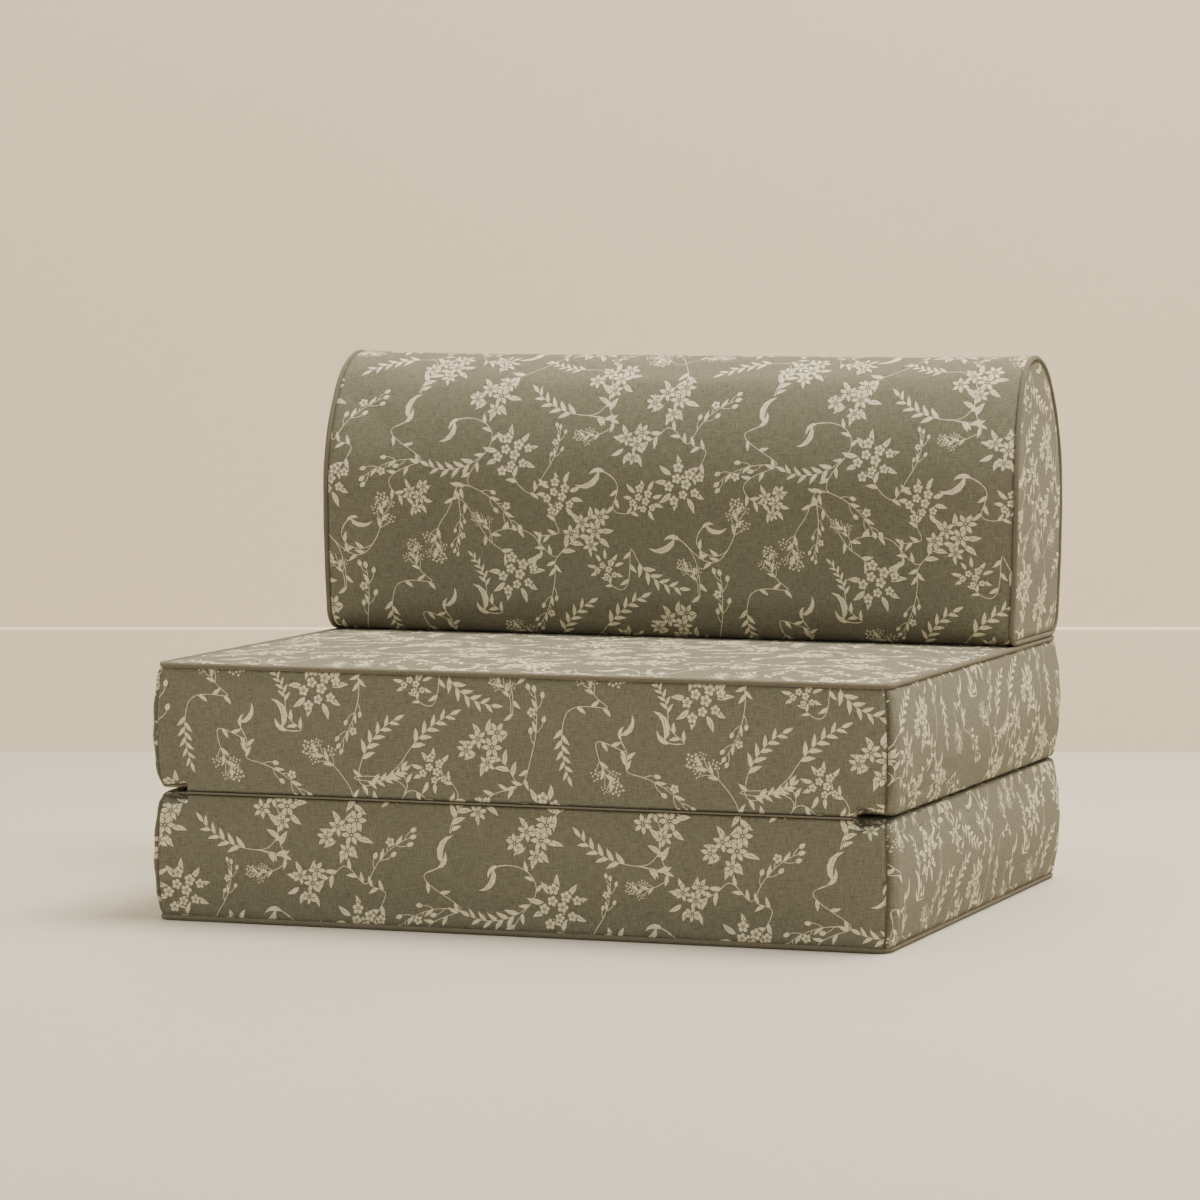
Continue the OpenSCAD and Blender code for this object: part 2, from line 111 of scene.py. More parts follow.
class Pen:
    """Draws the print's flowers, leaves and stems as flat outlines, in millimetres.

    Every outline is ink or bare cloth, and a later one lies over the ones before it.
    """

    def __init__(self) -> None:
        """Starts with a clean sheet."""
        self.shapes: list[tuple[np.ndarray, bool]] = []

    def add(self, points: Sequence[Sequence[float]], ink: bool = True) -> None:
        """Adds one outline.

        Args:
            points: The outline's corners in order.
            ink: True for ink, False for bare cloth.
        """
        self.shapes.append((np.asarray(points, float), ink))

    def disc(self, at: np.ndarray, radius: float, ink: bool = True, sides: int = 8) -> None:
        """Adds a round dot."""
        turn = np.arange(sides) * (TAU / sides)
        self.add(at + radius * np.stack([np.cos(turn), np.sin(turn)], 1), ink)

    def stem(self, path: np.ndarray, wide: float = 1.0, thin: float = 0.6) -> None:
        """Adds a stem that tapers along a path."""
        along = np.gradient(path, axis=0)
        side = unit_rows(np.stack([-along[:, 1], along[:, 0]], 1))
        half = np.linspace(wide, thin, len(path))[:, None] / 2
        self.add(np.vstack([path - side * half, (path + side * half)[::-1]]))

    def leaf(self, at: np.ndarray, turn: float, length: float, width: float,
             bend: float = 0.25, vein: bool = True) -> None:
        """Adds a pointed leaf whose middle line bends.

        Args:
            at: The leaf's stalk end.
            turn: The direction it grows in, in radians from +X.
            length: Length along the middle line.
            width: Greatest width.
            bend: How far it turns from stalk to tip, in radians.
            vein: True to leave a thin bare line down the middle.
        """
        t = np.linspace(0, 1, 6)
        heading = turn + bend * (t - 0.5)
        step = np.stack([np.cos(heading), np.sin(heading)], 1) * length / 5
        line = at + np.vstack([[0, 0], np.cumsum(step[:-1], axis=0)])
        side = np.stack([-np.sin(heading), np.cos(heading)], 1)
        half = (width / 2 * np.sin(math.pi * t**0.8))[:, None]
        left, right = line + side * half, line - side * half
        self.add(np.vstack([right, left[4:0:-1]]))
        if vein and width > 5.4:
            self.add([line[1], line[3] - side[3] * 0.3, line[4], line[3] + side[3] * 0.3], False)

    def petal(self, at: np.ndarray, turn: float, near: float, far: float, width: float,
              pointed: bool, ink: bool = True) -> None:
        """Adds one petal from a near to a far distance along its direction."""
        t = np.linspace(0, 1, 5)
        if pointed:
            half = width / 2 * np.sin(math.pi * t**0.85) ** 0.9
        else:
            half = width / 2 * np.sqrt(np.clip(1 - (2 * t - 1) ** 2, 0, 1)) * (0.75 + 0.25 * t)
        along = near + (far - near) * t
        upper = np.stack([along, half], 1)
        lower = np.stack([along, -half], 1)[3:0:-1]
        outline = np.vstack([upper, lower])
        c, s = math.cos(turn), math.sin(turn)
        self.add(at + outline @ np.array([[c, s], [-s, c]]), ink)

    def burst(self, at: np.ndarray, outer: float, inner: float, points: int, turn: float,
              ink: bool) -> None:
        """Adds a star outline whose corners lie by turns far out and near in."""
        corners = [at + (outer if k % 2 == 0 else inner) * unit(turn + k * TAU / (2 * points))
                   for k in range(2 * points)]
        self.add(corners, ink)

    def star(self, at: np.ndarray, radius: float, turn: float) -> None:
        """Adds a flower of six pointed petals, with bare cloth round it."""
        self.burst(at, 1.14 * radius, 0.62 * radius, 6, turn, False)
        for k in range(6):
            way = turn + k * TAU / 6
            self.petal(at, way, 0.17 * radius, radius, 0.43 * radius, True)
            root, tip = at + 0.3 * radius * unit(way), at + 0.7 * radius * unit(way)
            side = 0.022 * radius * unit(way + TAU / 4)
            self.add([root - side, tip, root + side], False)
        self.disc(at, 0.09 * radius, True, 5)

    def blossom(self, at: np.ndarray, radius: float, turn: float) -> None:
        """Adds a flower of five round petals, with bare cloth round it."""
        self.disc(at, 1.1 * radius, False, 9)
        for k in range(5):
            self.petal(at, turn + k * TAU / 5, 0.2 * radius, radius, 0.8 * radius, False)
        self.disc(at, 0.12 * radius, True, 5)

    def umbel(self, at: np.ndarray, radius: float, count: int) -> None:
        """Adds a round head of small florets."""
        for k in range(count):
            spot = at + self.spiral(k, radius / math.sqrt(count))
            self.disc(spot, radius * 0.26, False, 6)
            self.burst(spot, radius * 0.23, radius * 0.1, 4, 1.3 * k, True)

    def bud(self, at: np.ndarray, turn: float, size: float) -> None:
        """Adds a closed bud with a small cup of sepals."""
        self.petal(at, turn, 0.15 * size, size, 0.62 * size, True)
        self.petal(at, turn + 0.55, 0, 0.6 * size, 0.2 * size, True)
        self.petal(at, turn - 0.55, 0, 0.6 * size, 0.2 * size, True)

    @staticmethod
    def spiral(k: int, spacing: float) -> np.ndarray:
        """Gives the place of the k-th flower of a head, on a sunflower spiral."""
        return spacing * math.sqrt(k + 0.35) * unit(k * GOLDEN)

    @staticmethod
    def curve(start: np.ndarray, turn: float, length: float, bend: float,
              count: int = 12) -> np.ndarray:
        """Gives points along a stem that leaves in one direction and turns evenly."""
        t = np.linspace(0, 1, count)
        heading = turn + bend * t
        step = np.stack([np.cos(heading), np.sin(heading)], 1) * length / (count - 1)
        return start + np.vstack([[0, 0], np.cumsum(step[:-1], axis=0)])


@dataclass(frozen=True)
class Spray:
    """One sprig's place in the repeat: its foot, direction, bend and size."""

    kind: Sprig
    x: float
    y: float
    turn: float
    length: float
    bend: float = 0.0
    heads: int = 4
    scale: float = 1.0

    def path(self) -> np.ndarray:
        """Gives the points along the sprig's own stem."""
        return Pen.curve(np.array([self.x, self.y]), math.radians(self.turn), self.length,
                         math.radians(self.bend))

    def spots(self) -> np.ndarray:
        """Gives the places that the sprig fills: along its stem and round its head."""
        path = self.path()
        if self.kind not in (Sprig.STARS, Sprig.BLOSSOMS):
            return path[2::2]
        head = path[-1] + 10 * self.scale * unit(math.radians(self.turn + self.bend))
        ring = [head + 20 * self.scale * unit(k * TAU / 6) for k in range(6)]
        return np.vstack([path[2::2], ring])

    def draw(self, pen: Pen) -> None:
        """Draws the sprig's stem, leaves and flowers."""
        turn, bend = math.radians(self.turn), math.radians(self.bend)
        path = self.path()
        if self.kind is not Sprig.BLADES:
            pen.stem(path, 0.75, 0.5)
        heading = turn + bend
        getattr(self, f"draw_{self.kind.value}")(pen, path, turn, heading)

    def shoots(self, pen: Pen, path: np.ndarray, turn: float, heading: float,
               first: int = 2) -> Iterator[tuple[np.ndarray, float, int]]:
        """Gives places along the stem for side shoots, on alternate sides."""
        for i in range(first, len(path) - 1, 2):
            side = 1 if (i // 2) % 2 else -1
            lean = turn + (heading - turn) * i / (len(path) - 1)
            yield path[i], lean + side * 0.85, side

    def ring_of_leaves(self, pen: Pen, at: np.ndarray, heading: float, reach: float,
                       count: int) -> None:
        """Draws leaves that stand out all round a flower head."""
        for k in range(count):
            angle = heading + (k - (count - 1) / 2) * (4.6 / count)
            size = (23 + 5 * math.sin(3 * k)) * self.scale
            pen.leaf(at + reach * unit(angle), angle, size, 8 * self.scale,
                     0.5 * (-1) ** k)

    def draw_stars(self, pen: Pen, path: np.ndarray, turn: float, heading: float) -> None:
        """Draws a leafy stem with a head of star flowers."""
        for at, lean, side in self.shoots(pen, path, turn, heading, 1):
            pen.leaf(at, lean, 23 * self.scale, 7.5 * self.scale, 0.5 * side)
        head = path[-1] + 9 * self.scale * unit(heading)
        self.ring_of_leaves(pen, head, heading, 17 * self.scale, 6)
        for k in reversed(range(self.heads)):
            spot = head + pen.spiral(k, 14.5 * self.scale)
            pen.star(spot, (15.5 - 1.2 * (k % 3)) * self.scale, 0.7 * k)

    def draw_blossoms(self, pen: Pen, path: np.ndarray, turn: float, heading: float) -> None:
        """Draws a stem with a dense head of round blossoms."""
        for at, lean, side in self.shoots(pen, path, turn, heading, 3):
            pen.leaf(at, lean, 19 * self.scale, 6.5 * self.scale, 0.6 * side)
        head = path[-1] + 10 * self.scale * unit(heading)
        self.ring_of_leaves(pen, head, heading, 22 * self.scale, 7)
        for k in reversed(range(self.heads)):
            spot = head + pen.spiral(k, 10.2 * self.scale)
            pen.blossom(spot, (8.6 - 0.7 * (k % 3)) * self.scale, 1.3 * k)

    def draw_umbels(self, pen: Pen, path: np.ndarray, turn: float, heading: float) -> None:
        """Draws a forked stem with round heads of small florets."""
        pen.umbel(path[-1] + 8 * self.scale * unit(heading), 12 * self.scale, 15)
        for n, (at, lean, side) in enumerate(self.shoots(pen, path, turn, heading, 4)):
            arm = pen.curve(at, lean, 21 * self.scale, -0.7 * side, 6)
            pen.stem(arm, 0.75, 0.5)
            if n < self.heads:
                pen.umbel(arm[-1], (9.5 - n) * self.scale, 10)
            pen.leaf(at, lean - 1.5 * side, 17 * self.scale, 5.5 * self.scale, -0.6 * side)

    def draw_buds(self, pen: Pen, path: np.ndarray, turn: float, heading: float) -> None:
        """Draws a thin stem with buds and berries on side shoots."""
        for n, (at, lean, side) in enumerate(self.shoots(pen, path, turn, heading, 2)):
            arm = pen.curve(at, lean, (15 + 3 * (n % 2)) * self.scale, -0.8 * side, 5)
            pen.stem(arm, 0.75, 0.5)
            if n % 3 == 2:
                pen.blossom(arm[-1], 7 * self.scale, n)
            else:
                pen.bud(arm[-1], lean - 0.7 * side, 10.5 * self.scale)
            if n % 2:
                pen.leaf(at, lean - 1.3 * side, 18 * self.scale, 5.5 * self.scale, 0.4)
        pen.bud(path[-1], heading, 11 * self.scale)

    def draw_leaves(self, pen: Pen, path: np.ndarray, turn: float, heading: float) -> None:
        """Draws a stem with leaves on both sides, smaller towards the tip."""
        count = len(path)
        for i in range(2, count - 1):
            side = 1 if i % 2 else -1
            lean = turn + (heading - turn) * i / (count - 1)
            size = (24 - 9 * i / count) * self.scale
            pen.leaf(path[i], lean + 0.75 * side, size, 0.31 * size, 0.5 * side)
        pen.leaf(path[-1], heading, 18 * self.scale, 6 * self.scale, 0.2)

    def draw_blades(self, pen: Pen, path: np.ndarray, turn: float, heading: float) -> None:
        """Draws a pair of long curved leaves on a short stalk."""
        pen.stem(path[:6], 1.2, 0.8)
        spread = 1.9 if self.bend < 0 else -1.9
        pen.leaf(path[5], heading, self.length, 9.5 * self.scale, spread)
        pen.leaf(path[3], turn - 0.5 * spread, 0.55 * self.length, 7 * self.scale, -0.8 * spread)


@dataclass(frozen=True)
class FloralPrint:
    """A generic all-over print of trailing sprigs, as one repeat in millimetres."""

    width: float = 420.0
    height: float = 430.0
    motif: float = 0.74
    seed: int = 21

    def apart(self, spots: np.ndarray, others: np.ndarray) -> np.ndarray:
        """Gives how far each spot is from each of the others across the repeat's edges."""
        tile = np.array([self.width, self.height])
        away = spots[:, None] - others[None]
        return np.linalg.norm(away - tile * np.round(away / tile), axis=2)

    def sprays(self) -> list[Spray]:
        """Strews the sprigs over one repeat, the large ones first, with even gaps.

        Returns:
            The sprigs in drawing order.
        """
        rng = np.random.default_rng(self.seed)
        stems = {Sprig.STARS: (52, 5), Sprig.LEAVES: (92, 0), Sprig.UMBELS: (56, 3),
                 Sprig.BUDS: (88, 0), Sprig.BLOSSOMS: (46, 9), Sprig.BLADES: (52, 0)}
        kinds, sprays, taken = list(stems), [], np.zeros((0, 2))
        for size, tries in ((1.0, 700), (0.88, 900), (0.76, 1200), (0.66, 1500)):
            for _ in range(tries):
                kind = kinds[len(sprays) % len(kinds)]
                length, heads = stems[kind]
                foot = rng.uniform(0, 1, 2) * [self.width, self.height]
                turn, bend = rng.uniform(-180, 180), rng.choice([-1, 1]) * rng.uniform(25, 65)
                spray = Spray(kind, *foot, turn, length * size * self.motif, bend,
                              max(2, round(heads * size)), size * self.motif)
                spots = spray.spots()
                if self.apart(spots, taken).min(initial=1e3) > 40.0 * spray.scale:
                    sprays.append(spray)
                    taken = np.vstack([taken, spots])
        return sprays

    def trails(self, sprays: list[Spray]) -> list[np.ndarray]:
        """Gives the long thin stems that tie each sprig's foot to the nearest one's.

        Args:
            sprays: The sprigs of one repeat.

        Returns:
            One path for each pair.
        """
        tile = np.array([self.width, self.height])
        feet = np.array([[spray.x, spray.y] for spray in sprays])
        gaps = self.apart(feet, feet)
        gaps[gaps < 24] = 1e6
        t = np.linspace(0, 1, 16)[:, None]
        paths = []
        for i, j in sorted({(min(i, j), max(i, j)) for i, j in enumerate(gaps.argmin(1))}):
            end = feet[i] + (feet[j] - feet[i]) - tile * np.round((feet[j] - feet[i]) / tile)
            ways = [unit(math.radians(sprays[k].turn)) * 0.6 * gaps[i, j] for k in (i, j)]
            paths.append((1 - t)**3 * feet[i] + 3 * (1 - t)**2 * t * (feet[i] - ways[0])
                         + 3 * (1 - t) * t**2 * (end - ways[1]) + t**3 * end)
        return paths

    @cached_property
    def shapes(self) -> list[tuple[np.ndarray, bool]]:
        """Draws one repeat.

        Returns:
            Outlines in drawing order, each with True for ink.
        """
        pen, sprays = Pen(), self.sprays()
        for path in self.trails(sprays):
            pen.stem(path, 0.7, 0.7)
            for i in range(4, len(path) - 3, 3):
                way = math.atan2(*(path[i + 1] - path[i])[::-1])
                side = 1 if i % 2 else -1
                pen.leaf(path[i], way + 0.8 * side, 12.5, 4.2, 0.5 * side)
        for spray in sprays:
            spray.draw(pen)
        return pen.shapes


class Cloth(Enum):
    """The cloth that a panel is cut from."""

    PRINTED = "printed"
    PLAIN = "plain"


class Side(Enum):
    """A side of a seat block, by quarter turns from the front."""

    FRONT = 0
    RIGHT = 1
    REAR = 2
    LEFT = 3


def spaced(length: float, step: float) -> np.ndarray:
    """Gives even places from 0 to a length, about a step apart."""
    return np.linspace(0.0, length, max(2, round(length / step) + 1))


def rectangle(x: np.ndarray, y: np.ndarray) -> np.ndarray:
    """Gives the border of a rectangular panel, anticlockwise.

    Args:
        x: The places of the border's points along the two long seams.
        y: Their places along the two short seams.

    Returns:
        The border's points.
    """
    return np.vstack([np.stack([x, np.full(len(x), y[0])], 1),
                      np.stack([np.full(len(y), x[-1]), y], 1)[1:],
                      np.stack([x, np.full(len(x), y[-1])], 1)[-2::-1],
                      np.stack([np.full(len(y), x[0]), y], 1)[-2:0:-1]])


def rectangle_inset(x: np.ndarray, y: np.ndarray, flat: np.ndarray) -> np.ndarray:
    """Gives the distance in from a rectangular panel's seams at flat points."""
    return np.minimum(x[-1] - np.abs(flat[:, 0]),
                      np.minimum(flat[:, 1] - y[0], y[-1] - flat[:, 1]))


def spline_weights(f: np.ndarray) -> np.ndarray:
    """Gives the four cubic spline weights at places between 0 and 1, for each row."""
    return np.stack([(1 - f) ** 3 / 6, (3 * f**3 - 6 * f**2 + 4) / 6,
                     (-3 * f**3 + 3 * f**2 + 3 * f + 1) / 6, f**3 / 6], 1)


def clip_convex(shape: np.ndarray, corners: np.ndarray, inward: np.ndarray,
                margin: float) -> np.ndarray:
    """Cuts a flat outline to a convex shape.

    Args:
        shape: The outline's corners.
        corners: The convex shape's corners, anticlockwise.
        inward: The inward direction of the edge that leaves each corner.
        margin: How far inside the shape the cut lies.

    Returns:
        The corners of what is left, which may be none.
    """
    reach = (shape[:, None, :] - corners[None]) * inward[None]
    for edge in np.nonzero((reach.sum(2) < margin).any(0))[0]:
        if len(shape) < 3:
            break
        far = (shape - corners[edge]) @ inward[edge] - margin
        kept = []
        for i, now in enumerate(far):
            last = far[i - 1]
            if (now < 0) != (last < 0):
                t = last / (last - now)
                kept.append(shape[i - 1] + t * (shape[i] - shape[i - 1]))
            if now >= 0:
                kept.append(shape[i])
        shape = np.array(kept).reshape(-1, 2)
    return shape


@dataclass
class Panel:
    """One cut panel of the cover: a flat convex shape and the place of each point of it.

    Attributes:
        rim: Its border corners on the flat, anticlockwise, in millimetres.
        inset: Gives the distance in from the border at flat points.
        place: Gives points in space from flat points and how far each is lifted.
        cloth: The cloth that it is cut from.
        shift: Where the print's repeat starts.
        crown: The greatest height that the filling pushes it out.
        calm: Gives 0 where the panel stays flat and 1 where it may swell.
        extra: Flat points that the mesh must have, such as both lips of a groove.
    """

    rim: np.ndarray
    inset: Callable[[np.ndarray], np.ndarray]
    place: Callable[[np.ndarray, np.ndarray], np.ndarray]
    cloth: Cloth
    shift: tuple[float, float] = (0.0, 0.0)
    crown: float = 3.0
    calm: Callable[[np.ndarray], np.ndarray] | None = None
    extra: np.ndarray | None = None
    swell: np.ndarray | None = None
    coarse: float = 16.0
    depth: float = 0.0

    @property
    def low(self) -> np.ndarray:
        """Gives the flat panel's lowest corner, where its grids start."""
        return self.rim.min(0)

    def inward(self) -> np.ndarray:
        """Gives the inward direction of each border edge."""
        along = unit_rows(np.roll(self.rim, -1, 0) - self.rim)
        return np.stack([-along[:, 1], along[:, 0]], 1)

    def ring(self, inset: float) -> np.ndarray:
        """Gives the border's corners moved in by a distance."""
        edge = self.inward()
        before = np.roll(edge, 1, 0)
        lean = (edge + before) / (1.0 + (edge * before).sum(1))[:, None]
        return self.rim + lean * inset

    def grid(self, step: float, inset: float) -> np.ndarray:
        """Gives a square grid of flat points that lie well inside the border."""
        low, high = self.low, self.rim.max(0)
        u = np.arange(low[0], high[0], step)
        v = np.arange(low[1], high[1], step)
        points = np.stack(np.meshgrid(u, v), -1).reshape(-1, 2)
        return points[self.inset(points) > inset]

    def lift(self, flat: np.ndarray) -> np.ndarray:
        """Gives how far the filling pushes the panel out at flat points."""
        edge = self.inset(flat)
        if self.swell is None:
            height = self.crown * (1.0 - np.exp(-edge / 38.0))
        else:
            height = self.crown * np.tanh(self.spline(flat) / self.crown)
        height = height * ease(edge, 0.0, 26.0) ** 0.8
        if self.calm is not None:
            height = height * self.calm(flat)
        return height - self.depth

    def spline(self, flat: np.ndarray) -> np.ndarray:
        """Reads the simulated swelling smoothly at flat points."""
        at = (flat - self.low) / self.coarse
        cell = np.floor(at).astype(int)
        wu, wv = spline_weights((at - cell).T)
        table = np.pad(self.swell, 3, mode="edge")
        total = np.zeros(len(flat))
        for i in range(4):
            for j in range(4):
                u = np.clip(cell[:, 0] + i + 2, 0, table.shape[0] - 1)
                v = np.clip(cell[:, 1] + j + 2, 0, table.shape[1] - 1)
                total += wu[i] * wv[j] * table[u, v]
        return total

    def points(self, flat: np.ndarray) -> np.ndarray:
        """Gives the places of flat points in space, in millimetres."""
        return self.place(flat, self.lift(flat))

    def normals(self, flat: np.ndarray) -> np.ndarray:
        """Gives the outward direction of the cloth at flat points."""
        e = 0.4
        du = self.points(flat + [e, 0]) - self.points(flat - [e, 0])
        dv = self.points(flat + [0, e]) - self.points(flat - [0, e])
        n = np.cross(du, dv)
        return n / np.maximum(np.linalg.norm(n, axis=1), 1e-9)[:, None]

    def printed(self, print_: "FloralPrint") -> list[tuple[np.ndarray, bool]]:
        """Lays the print's repeats on the panel and cuts them at its border."""
        low, high = self.low, self.rim.max(0)
        size = np.array([print_.width, print_.height])
        edge = self.inward()
        found = []
        first = np.floor((low - self.shift) / size).astype(int) - 1
        last = np.ceil((high - self.shift) / size).astype(int) + 1
        shapes = print_.shapes
        middles = np.array([points.mean(0) for points, _ in shapes])
        reaches = np.array([np.abs(p - m).max() for (p, _), m in zip(shapes, middles)]) * 1.5
        for i in range(first[0], last[0]):
            for j in range(first[1], last[1]):
                move = np.array([i, j]) * size + self.shift
                deep = self.inset(middles + move)
                for (points, ink), depth, reach in zip(shapes, deep, reaches):
                    if depth < -reach:
                        continue
                    points = points + move
                    if depth < reach + 0.5:
                        points = clip_convex(points, self.rim, edge, 0.45)
                        if len(points) < 3:
                            continue
                    found.append((points, ink))
        return found

    def cut(self, step: float, print_: "FloralPrint | None", fine: bool) -> "CutPanel":
        """Cuts the panel into triangles, with the print's outlines as edges.

        Args:
            step: Spacing of the points inside the panel, in millimetres.
            print_: The print to lay on it, or None.
            fine: True to add the close rows of points beside the seams.

        Returns:
            The flat mesh of the panel.
        """
        rim = len(self.rim)
        parts = [self.rim]
        if fine:
            parts += [self.ring(inset) for inset in (0.9, 1.9, 3.2, 5.2, 8.2)]
            if self.extra is not None:
                parts.append(self.extra)
        parts.append(self.grid(step, 11.0 if fine else 6.0))
        shapes = self.printed(print_) if print_ else []
        edges = [(i, (i + 1) % rim) for i in range(rim)]
        count = sum(len(part) for part in parts)
        for points, _ in shapes:
            turn = len(points)
            edges += [(count + i, count + (i + 1) % turn) for i in range(turn)]
            parts.append(points)
            count += turn
        flat, _, tris, source, _, _ = delaunay_2d_cdt(
            [Vector(v) for v in np.vstack(parts)], edges, [], 0, 1e-6, True)
        flat = np.array([tuple(v) for v in flat])
        border = np.array([any(s < rim for s in found) for found in source])
        tris = np.array(tris)
        a, b, c = (flat[tris[:, k]] for k in range(3))
        (bx, by), (cx, cy) = (b - a).T, (c - a).T
        turn = bx * cy - by * cx
        tris[turn < 0] = tris[turn < 0][:, ::-1]
        tris = tris[np.abs(turn) > 1e-5]
        ink = self.on_ink(flat[tris].mean(1), shapes)
        return CutPanel(self, flat, tris, ink, border)

    @staticmethod
    def on_ink(middles: np.ndarray, shapes: list[tuple[np.ndarray, bool]]) -> np.ndarray:
        """Finds which triangles are inked, where a later outline covers an earlier one.

        Args:
            middles: The triangles' middles.
            shapes: The print's outlines in drawing order.

        Returns:
            True for each inked triangle.
        """
        size, wide = 10.0, 4096
        cell = np.floor(middles / size).astype(int) + wide // 2
        key = cell[:, 0] * wide + cell[:, 1]
        order = np.argsort(key, kind="stable")
        keys, starts = np.unique(key[order], return_index=True)
        groups = dict(zip(keys.tolist(), np.split(order, starts[1:])))
        ink = np.zeros(len(middles), bool)
        for points, wet in shapes:
            low = np.floor(points.min(0) / size).astype(int) + wide // 2
            high = np.floor(points.max(0) / size).astype(int) + wide // 2
            near = [groups[k] for i in range(low[0], high[0] + 1)
                    for k in range(i * wide + low[1], i * wide + high[1] + 1) if k in groups]
            if not near:
                continue
            near = np.concatenate(near)
            at = middles[near]
            a, b = points, np.roll(points, -1, 0)
            above = (a[None, :, 1] > at[:, None, 1]) != (b[None, :, 1] > at[:, None, 1])
            rise = b[:, 1] - a[:, 1]
            rise = np.where(np.abs(rise) < 1e-12, 1e-12, rise)
            cross = a[:, 0] + (at[:, None, 1] - a[:, 1]) / rise * (b[:, 0] - a[:, 0])
            inside = ((above & (at[:, None, 0] < cross)).sum(1) % 2) == 1
            ink[near[inside]] = wet
        return ink


@dataclass
class CutPanel:
    """A panel cut into triangles on the flat."""

    panel: Panel
    flat: np.ndarray
    tris: np.ndarray
    ink: np.ndarray
    border: np.ndarray


